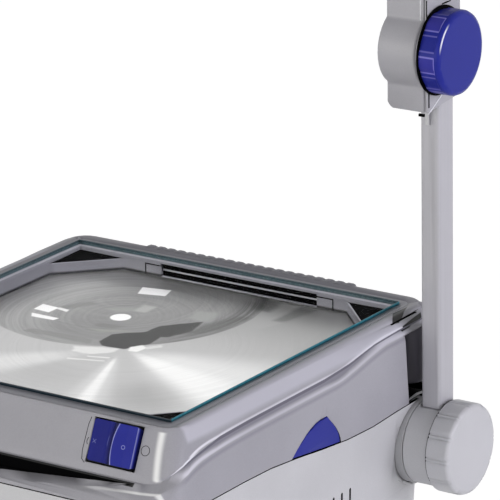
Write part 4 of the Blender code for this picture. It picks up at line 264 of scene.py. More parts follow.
class Shader(Network):
    """A material under construction."""

    def __init__(self, name: str) -> None:
        """Starts a material with a Principled surface.

        Args:
            name: The material's name.
        """
        self.material = bpy.data.materials.new(name)
        self.material.use_nodes = True
        super().__init__(self.material.node_tree)
        self.output = self.node("ShaderNodeOutputMaterial")
        self.surface = self.node("ShaderNodeBsdfPrincipled")
        self.show(self.signal(self.surface))
        self.place = self.signal(self.node("ShaderNodeTexCoord"), "Object")

    def show(self, surface: Signal) -> None:
        """Makes a surface the one that is seen."""
        self.feed(self.output.inputs["Surface"], surface)

    def set(self, **values: object) -> None:
        """Feeds inputs of the Principled surface, named with underscores for spaces."""
        for key, value in values.items():
            self.feed(self.surface.inputs[key.replace("_", " ")], value)

    def blend(self, share: object, first: object, second: object) -> Signal:
        """Mixes two colours."""
        values = {0: share, 6: first, 7: second}
        return self.signal(self.node("ShaderNodeMix", {"data_type": "RGBA"}, values), 2)

    def over(self, colour: object, share: object, code: str) -> Signal:
        """Lays a written colour over another."""
        return self.blend(share, colour, linear(code))

    def lay(self, colour: object, layers: list[tuple[object, str]]) -> Signal:
        """Lays written colours over another, one after the other.

        Args:
            colour: The colour at the bottom.
            layers: Each layer's share and written colour.

        Returns:
            The colour that is seen.
        """
        for share, code in layers:
            colour = self.over(colour, share, code)
        return colour

    def mapped(self, scale: Colour) -> Signal:
        """Scales the object's own coordinates."""
        return self.signal(self.node("ShaderNodeMapping", None, {"Vector": self.place, "Scale": scale}))

    def noise(self, scale: float, detail: float = 2.0, rough: float = 0.5,
              place: Signal | None = None) -> Signal:
        """Adds a noise texture."""
        values = {"Vector": place or self.place, "Scale": scale, "Detail": detail, "Roughness": rough}
        return self.signal(self.node("ShaderNodeTexNoise", None, values), "Fac")

    def from_box(self, node: str) -> tuple[Signal, Signal, Signal]:
        """Returns the three distances from the middle of a solid's box."""
        low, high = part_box(node)
        return tuple(axis - middle for axis, middle in zip(self.axes(self.place), (low + high) / 2))

    def from_glass(self) -> tuple[Signal, Signal, Signal]:
        """Measures places from the middle of the glass.

        Returns:
            The distances across and along, and the drop below the glass.
        """
        middle = glass_centre()
        x, y, z = self.axes(self.place)
        return x - middle.x, y - middle.y, middle.z - z

    def relief(self, height: Signal, distance: float, under: Signal | None = None) -> Signal:
        """Adds a Bump node.

        Args:
            height: The height of the relief, from 0 to 1.
            distance: Its depth in metres.
            under: The normal that it is laid on.

        Returns:
            The bent normal.
        """
        values = {"Height": height, "Distance": distance, "Strength": 1.0}
        if under is not None:
            values["Normal"] = under
        return self.signal(self.node("ShaderNodeBump", None, values))

    def polygon(self, corners: tuple[tuple[float, float], ...], first: Signal, second: Signal, soft: float,
                wave: Signal | None = None) -> Signal:
        """Marks the inside of a flat-sided outline.

        Args:
            corners: Its corners in millimetres, in either order.
            first: The coordinate along the corners' first values, in metres.
            second: The coordinate along their second values.
            soft: The width of its soft edge in millimetres.
            wave: A length that moves the edge in and out.

        Returns:
            A share from 0 outside to 1 inside.
        """
        points = [Vector(corner) / 1000 for corner in corners]
        middle = sum(points, Vector((0.0, 0.0))) / len(points)
        share = None
        for start, end in zip(points, points[1:] + points[:1]):
            side = (end - start).normalized()
            normal = Vector((side.y, -side.x))
            if normal.dot(middle - start) > 0:
                normal.negate()
            reach = first * normal.x + second * normal.y - normal.dot(start)
            if wave is not None:
                reach = reach + wave
            inside = reach.fall(-soft / 2000, soft / 2000)
            share = inside if share is None else share * inside
        return share

    def soft_edge(self, radius: float) -> Signal:
        """Adds a Bevel node, which rounds the look of sharp edges, and returns its normal."""
        return self.signal(self.node("ShaderNodeBevel", {"samples": 6}, {"Radius": radius}))

    def worn_and_lit_edges(self, normal: Signal) -> Signal:
        """Marks the sharp edges, from 0 on flat faces to 1 on sharp edges, which are lightened partly from
        handling and partly as painted highlight.

        Args:
            normal: The rounded normal.

        Returns:
            A share.
        """
        true = self.signal(self.node("ShaderNodeNewGeometry"), "Normal")
        dot = self.node("ShaderNodeVectorMath", {"operation": "DOT_PRODUCT"}, {0: normal, 1: true})
        return (1.0 - self.signal(dot, "Value")).rise(0.02, 0.20)

    def mottled(self, code: str, change: float, share: Signal) -> Signal:
        """Varies a written colour by a share of itself, up and down.

        Args:
            code: The written colour.
            change: The share by which it varies.
            share: The pattern.

        Returns:
            The varied colour.
        """
        base = linear(code)
        dull = tuple(part * (1 - change) for part in base)
        fresh = tuple(min(1.0, part * (1 + change)) for part in base)
        return self.blend(share.rise(0.3, 0.7), dull, fresh)


@dataclass(frozen=True)
class Finish:
    """What every finish has: a name, a colour and the record's slot that it belongs to."""

    name: str
    slot: str
    colour: str

    def build(self) -> bpy.types.Material:
        """Makes the material once.

        Returns:
            The material.
        """
        made = bpy.data.materials.get(self.name)
        if made is None:
            shader = Shader(self.name)
            self.make(shader)
            made = shader.material
        return made

    def make(self, shader: Shader) -> None:
        """Makes the material. Each finish has its own way."""
        raise NotImplementedError(self.name)


@dataclass(frozen=True)
class MouldedPlastic(Finish):
    """Moulded plastic: fine spark grain, slow mottling, and edges lighter, partly from handling and partly
    as painted highlight.
    """

    roughness: float = 0.42
    grain: float = 0.00003
    grain_scale: float = 1500.0
    mottle: float = 0.035
    edge: float = 0.0007
    # How much the edges are lightened, partly from handling and partly as painted highlight.
    wear_and_highlight: float = 0.16
    specular: float = 0.5
    highlight: float = 0.30
    sparkle: float = 0.0
    # Height below which the plastic is painted in shade; none when 0.
    foot: float = 0.0

    def make(self, shader: Shader) -> None:
        """Builds the plastic.

        Args:
            shader: The material under construction.
        """
        colour = shader.mottled(self.colour, self.mottle, shader.noise(14.0, 3.0, 0.55))
        rounded = shader.soft_edge(self.edge)
        # Lighter sharp edges: partly from handling, partly painted highlight.
        worn_and_lit = shader.worn_and_lit_edges(rounded) * shader.noise(90.0, 3.0).rise(0.35, 0.65) * self.wear_and_highlight
        light = tuple(part + (0.9 - part) * self.highlight for part in linear(self.colour))
        colour = shader.blend(worn_and_lit, colour, light)
        if self.sparkle:
            spark = self.sparkle
            flakes = shader.step(shader.noise(2600.0, 1.0), 0.30, 0.70, 1.0 - spark, 1.0 + spark)
            values = {0: colour, "Scale": flakes}
            colour = shader.signal(shader.node("ShaderNodeVectorMath", {"operation": "SCALE"}, values))
        rough = shader.noise(35.0, 4.0, 0.6) * 0.08 + (self.roughness - 0.04)
        grain = shader.relief(shader.noise(self.grain_scale, 2.0, 0.6), self.grain, rounded)
        shader.set(Base_Color=self.tint(shader, colour), Roughness=rough, Normal=grain)
        shader.set(Specular_IOR_Level=self.specular)

    def tint(self, shader: Shader, colour: Signal) -> Signal:
        """Paints shade on the plastic towards its foot, where it has one.

        Args:
            shader: The material.
            colour: The plain colour.

        Returns:
            The colour with the painted shade.
        """
        if not self.foot:
            return colour
        height = shader.axes(shader.place)[2]
        # Painted shade along the foot.
        return shader.over(colour, height.fall(self.foot - 0.0004, self.foot + 0.0010, 0.92), "050506")


@dataclass(frozen=True)
class Ridge:
    """How far a side ridge lies below the glass, from its rear level and its fall towards the front."""

    level: float
    fall: float
    front: float
    reach: float
    lift: float
    lift_start: float = 0.0220
    lift_end: float = 0.1000

    def below(self, shader: Shader, along: Signal, drop: Signal) -> Signal:
        """Measures how far each place is below the ridge.

        Args:
            shader: The material.
            along: The distance behind the middle of the glass.
            drop: The depth below the glass.

        Returns:
            The distance, negative above the ridge.
        """
        drawn = shader.math("EXPONENT", (along + self.front) * (-1 / self.reach)) * self.fall
        lowest = shader.math("MINIMUM", drawn, self.fall) + self.level
        return drop - (lowest - along.rise(self.lift_start, self.lift_end, self.lift))


@dataclass(frozen=True)
class CasingPlastic(MouldedPlastic):
    """The lid's plastic, with painted highlights on its front corner, its lip and its side ridges, painted
    shade along the ridges, and painted shade in the openings at its rear corner and in the slit under the
    front panel.
    """

    painted_highlight: str = "FFFFFF"
    shadow: str = "08080A"
    upper: Ridge = Ridge(0.0163, 0.0237, 0.1792, 0.018, 0.0078)
    lower: Ridge = Ridge(0.0225, 0.0230, 0.1885, 0.022, 0.0100)
    # Where the painted highlights on the front corner and the lip run, and where the slit painted in shade
    # lies.
    corner_place: float = 0.1522
    corner_bow: float = 3.3
    lip_place: float = 0.1951
    lip_slant: float = 0.063
    slit_half: float = 0.1397
    slit_middle: float = 0.0768
    slit_bow: float = 1.51
    slit_place: float = 0.1749
    # Outlines in millimetres of painted shade in the rear corner's openings, on the rim's top and on the
    # side.
    rear_opening: tuple[tuple[float, float], ...] = (
        (157.5, 128), (158.6, 147), (168.6, 118.8), (165.2, 115.0))
    side_opening: tuple[tuple[float, float], ...] = (
        (118.5, 11.2), (120.5, 7.6), (140, 5.6), (149, 5.0), (147, 8.2), (130, 11.0))

    def tint(self, shader: Shader, colour: Signal) -> Signal:
        """Paints the highlights on the front corner and the lip, the highlights and shade of the ridges, and
        shade in the slit and in the openings.

        Args:
            shader: The material.
            colour: The plain colour.

        Returns:
            The colour with them.
        """
        across, along, drop = shader.from_glass()
        # Painted highlight down the front corner.
        corner = abs(across - (drop ** 2.0 * self.corner_bow + self.corner_place)).fall(0.0002, 0.0044, 0.88)
        corner = corner * along.fall(-0.1615, -0.1595) * drop.fall(0.0350, 0.0372)
        corner = corner * drop.rise(0.0042, 0.0055)
        # Painted highlight along the lip.
        lip = abs(along + (across * -self.lip_slant + self.lip_place)).fall(0.0003, 0.0014, 0.75)
        lip = lip * across.rise(0.080, 0.155) * across.fall(0.1680, 0.1740) * drop.rise(0.0385, 0.0400)
        aside = abs(across)
        colour = shader.lay(colour, [(corner, self.painted_highlight), (lip, self.painted_highlight)])
        colour = shader.lay(colour, self.ridges(shader, aside, along, drop))
        colour = shader.lay(colour, self.recess(shader, aside, along, drop))
        # Painted shade in the openings at the rear corner.
        rear = shader.polygon(self.rear_opening, across, along, 0.6) * drop.fall(0.0055, 0.0062)
        side = shader.polygon(self.side_opening, along, drop, 0.6) * across.rise(0.1655, 0.1665)
        return shader.over(colour, shader.math("MAXIMUM", rear, side), self.shadow)

    def ridges(self, shader: Shader, aside: Signal, along: Signal, drop: Signal) -> list[tuple[Signal, str]]:
        """Draws the light on the shoulder and the two side ridges, and the shade between and under them.

        Args:
            shader: The material.
            aside: The distance from the middle of the glass to either side.
            along: The distance behind the middle of the glass.
            drop: The depth below the glass.

        Returns:
            The shares and their colours, in the order in which they are laid.
        """
        face = aside.rise(0.1640, 0.1652) * along.fall(0.1160, 0.1240) * along.rise(-0.1760, -0.1660)
        first = self.upper.below(shader, along, drop)
        second = self.lower.below(shader, along, drop)
        near = shader.step(along, -0.160, -0.080, 0.85, 0.46)
        shoulder = aside.rise(0.1570, 0.1590) * drop.fall(0.0105, 0.0150)
        shoulder = shoulder * along.fall(0.1100, 0.1300) * along.rise(-0.1560, -0.1520)
        shade = first.rise(0.0008, 0.0020) * second.fall(-0.0022, -0.0012)
        under = second.rise(0.0014, 0.0030) * second.fall(0.0030, 0.0060)
        return [(shoulder * 0.8, "C9C8D2"), (shade * face * 0.75, "7D7B87"), (under * face * 0.45, "807E8A"),
                (first.line(-0.0004, 0.0002, 0.0013) * face * near, "F6F4FC"),
                (second.line(0.0, 0.0002, 0.0015, 0.9) * face * near, "ECEAF4")]

    def recess(self, shader: Shader, aside: Signal, along: Signal, drop: Signal) -> list[tuple[Signal, str]]:
        """Paints black shade into the slit under the front panel.

        Args:
            shader: The material.
            aside: The distance from the middle of the glass to either side.
            along: The distance behind the middle of the glass.
            drop: The depth below the glass.

        Returns:
            The share and its colour.
        """
        behind = along - ((aside - self.slit_middle) ** 2.0 * -self.slit_bow - self.slit_place)
        inner = behind.rise(-0.0002, 0.0004) * drop.rise(0.0397, 0.0400) * along.fall(-0.1500, -0.1490)
        edge = drop.rise(0.0391, 0.0395) * drop.fall(0.0412, 0.0416) * along.fall(-0.1765, -0.1760)
        reach = aside.fall(self.slit_half - 0.0005, self.slit_half + 0.0005)
        return [(shader.math("MAXIMUM", inner, edge) * reach, self.shadow)]


@dataclass(frozen=True)
class FocusKnobFinish(MouldedPlastic):
    """The blue focus knob, with painted highlights on the edges of its finger flutes and on its rim, and its
    flute faces painted lighter as if lit.
    """

    flute_turn: float = math.radians(-7)
    flutes: int = 6
    drum_radius: float = 0.0285
    rim_radius: float = 0.0296
    drum_length: float = 0.0127

    def tint(self, shader: Shader, colour: Signal) -> Signal:
        """Paints the highlights on the flutes and the rim, and the lighter flute faces.

        Args:
            shader: The material.
            colour: The plain colour.

        Returns:
            The colour with them.
        """
        low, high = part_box("focus_knob")
        x = shader.axes(shader.place)[0]
        _, back, up = shader.from_box("focus_knob")
        front = back * -1.0
        radius = shader.length(front, up)
        angle = shader.math("ARCTAN2", up, front)
        turn = shader.math("PINGPONG", angle - self.flute_turn + math.tau, math.pi / self.flutes)
        stop = low.x + self.drum_length
        drum = radius.rise(self.drum_radius - 0.0015, self.drum_radius)
        drum = drum * x.fall(stop - 0.0002, stop + 0.0003)
        rim = radius.line(self.rim_radius, 0.0002, 0.0009) * x.rise(high.x - 0.0040, high.x - 0.0030)
        # Painted light on the flute faces, and painted highlights on the flutes' edges, at the drum's end
        # and on the rim.
        layers = [(turn.fall(0.19, 0.21) * drum * 0.25, "5A50B4"),
                  (turn.line(0.20, 0.008, 0.030, 0.75) * drum, "8C86DC"),
                  (turn.line(0.33, 0.008, 0.030, 0.45) * drum, "8C86DC"),
                  (x.line(stop, 0.0002, 0.0006, 0.7) * turn.fall(0.19, 0.22), "8C86DC"),
                  (rim * angle.line(0.60, 0.15, 0.45, 0.9), "F4F4FF")]
        return shader.lay(colour, layers)


@dataclass(frozen=True)
class DrawnMetal(Finish):
    """Drawn or painted metal with faint lines along one axis."""

    roughness: float = 0.36
    metallic: float = 1.0
    along: Colour = (900.0, 900.0, 6.0)
    relief: float = 0.00001
    streak: float = 0.05
    edge: float = 0.0005
    specular: float = 0.5

    def make(self, shader: Shader) -> None:
        """Builds the metal.

        Args:
            shader: The material under construction.
        """
        lines = shader.noise(1.0, 3.0, 0.6, shader.mapped(self.along))
        rough = shader.noise(40.0, 3.0, 0.6) * 0.1 + (self.roughness - 0.05)
        shader.set(Base_Color=shader.mottled(self.colour, self.streak, lines), Roughness=rough,
                   Metallic=self.metallic, Specular_IOR_Level=self.specular,
                   Normal=shader.relief(lines, self.relief, shader.soft_edge(self.edge)))


@dataclass(frozen=True)
class StageGlassFinish(Finish):
    """Clear flat glass that lets light through to the lens, with a little dust."""

    ior: float = 1.01

    def make(self, shader: Shader) -> None:
        """Builds the glass.

        Args:
            shader: The material under construction.
        """
        dust = shader.step(shader.noise(60.0, 4.0, 0.7), 0.45, 0.75, 0.010, 0.035)
        shader.set(Base_Color=linear(self.colour), Roughness=dust, Transmission_Weight=1.0, IOR=self.ior)
        clear = shader.node("ShaderNodeBsdfTransparent", None, {0: WHITE})
        shader.show(shader.mixed(shader.rays("Is Shadow Ray"), shader.surface, clear))


@dataclass(frozen=True)
class GroundEdge(Finish):
    """The glass's ground edge with fine lines, its tone painted by side for light and shade: lit blue-green
    on the right, nearly black in front, grey-green at the rear.
    """

    # Tones by side, painted for light and shade.
    bright: str = "2E8292"
    front: str = "1B2A36"
    rear: str = "48595F"
    half: float = 0.1492

    def make(self, shader: Shader) -> None:
        """Builds the edge.

        Args:
            shader: The material under construction.
        """
        across, along, drop = shader.from_glass()
        soft = self.half - 0.0009
        # Painted light on the right edge and painted shade in front.
        colour = shader.blend(across.rise(soft, self.half), linear(self.rear), linear(self.bright))
        colour = shader.over(colour, along.fall(-self.half, -soft), self.front)
        chips = shader.noise(400.0, 3.0, 0.7).rise(0.40, 0.62) * 0.40
        dark = shader.math("MAXIMUM", drop.line(0.0016, 0.0002, 0.0006, 0.75), chips)
        shader.set(Base_Color=shader.over(colour, dark, "0A2028"), Roughness=0.30, Specular_IOR_Level=0.3)
        shader.set(Normal=shader.relief(shader.noise(1800.0, 2.0), 0.00003))


@dataclass(frozen=True)
class MirrorCoat(Finish):
    """Front-silvered mirror glass."""

    def make(self, shader: Shader) -> None:
        """Builds the mirror.

        Args:
            shader: The material under construction.
        """
        dust = shader.step(shader.noise(70.0, 4.0, 0.7), 0.4, 0.8, 0.015, 0.05)
        tone = shader.over(linear(self.colour), shader.noise(9.0, 2.0), "E9ECEE")
        shader.set(Base_Color=tone, Metallic=1.0, Roughness=dust)


@dataclass(frozen=True)
class OpticalGlass(Finish):
    """Clear glass of a lens or the lamp, slightly tinted."""

    ior: float = 1.45

    def make(self, shader: Shader) -> None:
        """Builds the glass.

        Args:
            shader: The material under construction.
        """
        dust = shader.step(shader.noise(80.0, 3.0, 0.7), 0.45, 0.8, 0.005, 0.04)
        shader.set(Base_Color=linear(self.colour), Roughness=dust, Transmission_Weight=1.0, IOR=self.ior)


@dataclass(frozen=True)
class SoftRubber(Finish):
    """Matt rubber with a fine grain and pale scuffs."""

    def make(self, shader: Shader) -> None:
        """Builds the rubber.

        Args:
            shader: The material under construction.
        """
        scuff = shader.noise(120.0, 4.0, 0.65).rise(0.55, 0.75, 0.35)
        colour = shader.over(linear(self.colour), scuff, "4A494C")
        grain = shader.relief(shader.noise(900.0, 3.0), 0.00006)
        shader.set(Base_Color=colour, Roughness=0.82, Normal=grain)


@dataclass(frozen=True)
class WoundCopper(Finish):
    """Varnished copper winding with its turns round the core."""

    pitch: float = 0.0011

    def make(self, shader: Shader) -> None:
        """Builds the winding.

        Args:
            shader: The material under construction.
        """
        half = self.pitch / 2
        shade = shader.math("PINGPONG", shader.axes(shader.place)[2], half).rise(0.0, half)
        colour = shader.blend(shade, linear("5A2A12"), linear(self.colour))
        shader.set(Base_Color=colour, Metallic=0.8, Roughness=0.34, Normal=shader.relief(shade, 0.0004))


@dataclass(frozen=True)
class Patch:
    """A flat-sided patch of painted reflection on the lens sheet, its corners in millimetres from the
    centre.
    """

    corners: tuple[tuple[float, float], ...]
    tone: str
    soft: float = 1.5
    share: float = 1.0
    ragged: float = 0.0


@dataclass(frozen=True)
class Beam:
    """A painted beam of reflected light on the lens sheet: its direction, half width, start and end of its
    rise, strength.
    """

    turn: float
    width: float
    first: float
    last: float
    share: float


@dataclass(frozen=True)
class FresnelSheet(Finish):
    """The ribbed acrylic lens: fine rings about its centre, with painted reflections of the lamp house and
    the studio lamps as pale and dark zones, beams and patches, and a painted glow of the lamp.
    """

    pitch: float = 0.0012
    # Where the painted reflection zones, the painted glow of the lamp and the painted arcs lie.
    zone_centre: tuple[float, float] = (-0.060, 0.087)
    zone_radius: float = 0.110
    second_centre: tuple[float, float] = (-0.035, 0.130)
    second_radius: float = 0.1145
    painted_glow_place: tuple[float, float] = (-0.038, 0.050)
    painted_glow_radius: float = 0.0080
    arc_centre: tuple[float, float] = (-0.038, 0.052)
    beams: tuple[Beam, ...] = (
        Beam(-1.19, 0.085, 0.025, 0.045, 0.85), Beam(-1.19, 0.22, 0.02, 0.05, 0.35),
        Beam(-0.36, 0.28, 0.012, 0.050, 1.0), Beam(-0.20, 0.62, 0.012, 0.055, 0.65),
        Beam(-2.25, 0.30, 0.02, 0.07, 0.45))
    patches: tuple[Patch, ...] = (
        Patch(((-20, 15), (-20, -3), (-12, -10), (8, -8), (17, 12), (15, 28), (0, 34)),
              "101010", 2.0, 1.0, 5.0),
        Patch(((-2, 30), (6, 24), (20, 31), (28, 50), (22, 73), (0, 50)), "161616", 2.5, 1.0, 6.0),
        Patch(((28, 40), (44, 62), (48, 100), (36, 96), (26, 60)), "606260", 8.0, 0.8, 9.0),
        Patch(((36, 118), (52, 118), (50, 142), (30, 142)), "585A58", 8.0, 0.75, 8.0),
        Patch(((66, 104), (76, 104), (82, 142), (66, 142)), "6C6E6C", 7.0, 0.8, 6.0),
        Patch(((-80, -5), (-25, -2), (-22, -12), (-84, -14)), "7C7D7B", 3.0, 0.7, 4.0),
        Patch(((-45, 22), (-30, 24), (-22, 34), (-44, 32)), "6A6B69", 5.0, 0.6, 5.0),
        Patch(((-86, 40), (-72, 66), (-80, 70), (-94, 46)), "737572", 5.0, 0.6, 4.0),
        Patch(((-62, 62), (-30, 82), (-28, 72), (-52, 58)), "9C9E9B", 5.0, 0.6, 4.0),
        Patch(((-40, 84), (-28, 84), (-28, 68), (-38, 68)), "B9BAB8", 4.0, 0.6, 2.0),
        Patch(((4, 92), (22, 98), (28, 74), (8, 74)), "A3A5A3", 6.0, 0.6, 4.0),
        Patch(((-46, 16), (-8, 30), (0, 36), (-4, 26), (-30, 14)), "94968F", 3.0, 0.6, 2.0),
        Patch(((-66, 118), (-60, 103), (-38, 109), (-42, 123)), "FFFFFF", 1.5),
        Patch(((-108, 45), (-107, 32), (-92, 31), (-92, 44)), "FFFFFF", 1.5),
        Patch(((-92, 45), (-92, 41), (-81, 39), (-82, 44)), "F4F4F4", 1.5, 0.9),
        Patch(((-103, 24), (-98, 17), (-78, 18), (-77, 24)), "FFFFFF", 1.5, 0.95, 1.0),
        Patch(((8, -2), (12, -10), (19, -8), (20, 2), (14, 6)), "F6F6F4", 2.5, 0.9, 4.0),
        Patch(((18, 4), (26, 14), (29, 10), (22, 0)), "EFEFED", 2.0, 0.45, 3.0),
        Patch(((-30, -22), (-10, -14), (3, -10), (4, -18), (-6, -30), (-24, -30)), "F2F2F0", 4.0, 0.60, 9.0),
        Patch(((-18, -45), (10, -36), (11, -38), (-16, -48)), "E9E9E7", 1.2, 0.7, 1.5),
        Patch(((-8, -34), (9, -28), (10, -31), (-6, -36)), "ECECEA", 1.2, 0.7, 1.5),
    )

    def make(self, shader: Shader) -> None:
        """Builds the lens sheet.

        Args:
            shader: The material under construction.
        """
        across, along, _ = shader.from_glass()
        radius = shader.length(across, along)
        ring = shader.math("PINGPONG", radius, self.pitch / 2).rise(0.0, self.pitch / 2)
        zone = self.distance(shader, across, along, self.zone_centre)
        fine = self.streaks(shader, zone, along, 900.0, 6.0)
        outer = self.outer_zone(shader, across, along, radius)
        inner = self.inner_zone(shader, across, along, fine)
        inside = zone.fall(self.zone_radius - 0.0015, self.zone_radius + 0.0010)
        colour = shader.blend(inside, outer, inner)
        # Painted reflections: light and dark patches.
        for patch in self.patches:
            wave = None
            if patch.ragged:
                wave = (shader.noise(55.0, 3.0, 0.6) - 0.5) * (patch.ragged / 1000)
            share = shader.polygon(patch.corners, across, along, patch.soft, wave) * patch.share
            colour = shader.over(colour, share, patch.tone)
        # Painted shade in a dark band near the zone's edge.
        painted_zone_shade = zone.rise(0.078, 0.098) * zone.fall(0.109, 0.111) * across.rise(0.012, 0.034)
        colour = shader.over(colour, painted_zone_shade * fine.rise(0.15, 0.75, 0.8), "484848")
        # Painted glow of the lamp seen through the lens.
        disc = self.distance(shader, across, along, self.painted_glow_place)
        disc = disc.fall(self.painted_glow_radius - 0.0008, self.painted_glow_radius + 0.0008)
        shader.set(Base_Color=shader.over(colour, disc, "FFFFFF"), Roughness=0.30, Metallic=0.62,
                   Specular_IOR_Level=0.3, Normal=shader.relief(ring, 0.000008))

    @staticmethod
    def distance(shader: Shader, across: Signal, along: Signal, point: tuple[float, float]) -> Signal:
        """Returns the distance from a point of the sheet."""
        return shader.length(across - point[0], along - point[1])

    @staticmethod
    def streaks(shader: Shader, radius: Signal, slow: Signal, fine: float, coarse: float) -> Signal:
        """Returns noise drawn out along circles.

        Args:
            shader: The material.
            radius: The distance that changes quickly.
            slow: The coordinate that changes slowly.
            fine: How fast the noise changes with the radius.
            coarse: How fast it changes along the circle.

        Returns:
            A share.
        """
        scaled = shader.node("ShaderNodeCombineXYZ", None, {0: radius * fine, 1: slow * coarse})
        return shader.noise(1.0, 4.0, 0.7, shader.signal(scaled)).rise(0.35, 0.65)

    def outer_zone(self, shader: Shader, across: Signal, along: Signal, radius: Signal) -> Signal:
        """Returns the pale zone of painted reflection, whose painted beams of light spread from the centre
        over the near half.

        Args:
            shader: The material.
            across: The coordinate along X.
            along: The coordinate along Y.
            radius: The distance from the centre.

        Returns:
            The zone's colour.
        """
        colour = shader.over(linear("BFBFBF"), along.rise(-0.010, 0.130), "969696")
        corner = self.distance(shader, across, along, (0.085, -0.080)).fall(0.010, 0.045, 0.75)
        edge = self.distance(shader, across, along, (-0.010, -0.075)).fall(0.005, 0.040, 0.45)
        colour = shader.over(shader.over(colour, corner, "A2A2A2"), edge, "ACACAC")
        angle = shader.math("ARCTAN2", along + 0.006, across - 0.005)
        for beam in self.beams:
            lit = angle.line(beam.turn, beam.width * 0.2, beam.width, beam.share)
            colour = shader.over(colour, lit * radius.rise(beam.first, beam.last), "FCFCFB")
        rings = self.streaks(shader, radius, along, 700.0, 5.0)
        colour = shader.over(colour, rings * 0.16, "8E8E8E")
        second = self.distance(shader, across, along, self.second_centre)
        wedge = second.fall(self.second_radius - 0.003, self.second_radius + 0.001)
        wedge = wedge * along.rise(0.010, 0.050)
        return shader.over(colour, wedge * 0.75, "A6A6A6")

    def inner_zone(self, shader: Shader, across: Signal, along: Signal, fine: Signal) -> Signal:
        """Returns the darker zone of painted reflection, in which the lamp's parts are mirrored.

        Args:
            shader: The material.
            across: The coordinate along X.
            along: The coordinate along Y.
            fine: The streaks round the zone.

        Returns:
            The zone's colour.
        """
        colour = shader.over(linear("808080"), along.rise(0.010, 0.140), "929292")
        arc = self.distance(shader, across, along, self.arc_centre)
        arcs = self.streaks(shader, arc, across, 420.0, 7.0)
        return shader.lay(colour, [(across.fall(-0.125, -0.050, 0.75), "BBBBBB"),
                                   (along.fall(-0.022, 0.012, 0.7), "9C9C9C"),
                                   (arcs * 0.38, "5C5C5C"), (fine * 0.22, "BABABA")])


@dataclass(frozen=True)
class RockerFinish(Finish):
    """The blue rocker: a hollow left half painted darker as shade, painted highlights along its curved crest
    and its right edge, a right half painted paler as if lit, black painted shade round its corners and on
    its right flank, and two small marks.
    """

    marks: str = "8F95D2"
    half_width: float = 0.0180
    half_height: float = 0.0122
    # Size of the corners rounded by painted shade, and where the right edge's painted highlight runs.
    rounding: float = 0.0026
    flank: float = 0.0193
    bow: float = 11.0
    bow_place: float = 0.0010
    bow_drop: float = 0.002
    ring_place: float = 0.0100
    ring_radius: float = 0.0013
    cross_place: float = 0.0172
    marks_drop: float = 0.001

    def make(self, shader: Shader) -> None:
        """Builds the rocker's plastic.

        Args:
            shader: The material under construction.
        """
        across, back, height = shader.from_box("rocker")
        up = back * math.sin(PANEL_LEAN) + height * math.cos(PANEL_LEAN)
        past = across - ((up + self.bow_drop) ** 2.0 * self.bow + self.bow_place)
        cloud = shader.noise(30.0, 3.0).rise(0.3, 0.7)
        # Painted shade in the hollow, darkest beside the crest, with a painted highlight arc.
        hollow = shader.over(linear("151B78"), cloud, "1A2080")
        hollow = shader.over(hollow, past.rise(-0.0085, -0.0012) * past.fall(-0.0006, 0.0), "0E1048")
        painted_highlight = past.line(-0.0066, 0.0001, 0.0005) * up.line(0.001, 0.002, 0.005) * 0.5
        hollow = shader.over(hollow, painted_highlight, "7A80C8")
        # The right half painted paler, as lit.
        full = shader.over(linear("20278E"), cloud, "252C94")
        colour = shader.blend(past.rise(-0.0002, 0.0002), hollow, full)
        ring = shader.length(across - self.ring_place, up + self.marks_drop)
        ring = ring.line(self.ring_radius, 0.0001, 0.0004, 0.8)
        left = abs(across + self.cross_place)
        high = abs(up + self.marks_drop)
        cross = (left - high).line(0.0, 0.0001, 0.0004, 0.7) * (left + high).fall(0.0024, 0.0030)
        corner = shader.length(shader.math("MAXIMUM", abs(across) - self.half_width, 0.0),
                               shader.math("MAXIMUM", abs(up) - self.half_height, 0.0))
        # Painted highlights on the crest and the right edge, painted shade on the flank and round the
        # corners, and the two marks.
        layers = [(past.line(0.0, 0.0001, 0.0006, 0.85), "A4A8E4"),
                  (across.line(self.flank, 0.0001, 0.0005, 0.8), "9FA3DC"),
                  (across.rise(self.flank + 0.0004, self.flank + 0.0007), "10134A"),
                  (ring, self.marks), (cross, self.marks),
                  (corner.rise(self.rounding - 0.0002, self.rounding + 0.0002), "060608")]
        shader.set(Base_Color=shader.lay(colour, layers), Roughness=0.34, Specular_IOR_Level=0.10,
                   Normal=shader.soft_edge(0.0010))


@dataclass(frozen=True)
class FloorFinish(Finish):
    """The pale floor, which keeps the shadow and is otherwise the white of the backdrop."""

    share: float = 0.88
    glow: float = 1.12

    def make(self, shader: Shader) -> None:
        """Builds the floor.

        Args:
            shader: The material under construction.
        """
        paper = shader.over(linear(self.colour), shader.noise(3.0), "F2F2F2")
        shader.set(Base_Color=paper, Roughness=0.9, Specular_IOR_Level=0.1)
        glow = shader.node("ShaderNodeEmission", None, {"Color": WHITE, "Strength": self.glow})
        share = shader.rays("Is Camera Ray", "Is Glossy Ray", "Is Transmission Ray") * self.share
        shader.show(shader.mixed(share, shader.surface, glow))


# In these finishes the lighter edges are partly from handling and partly painted highlight.
CASING = CasingPlastic("casing_plastic", "grey_casing", "A4A3AA", roughness=0.40, edge=0.0010, wear_and_highlight=0.6,
                       specular=0.22, highlight=0.55, sparkle=0.07)
# Painted shade for the under side of the upper ridge.
GROOVE_SHADE = MouldedPlastic("groove_shade_plastic", "grey_casing", "6E6C78", roughness=0.44, specular=0.15,
                        sparkle=0.05)
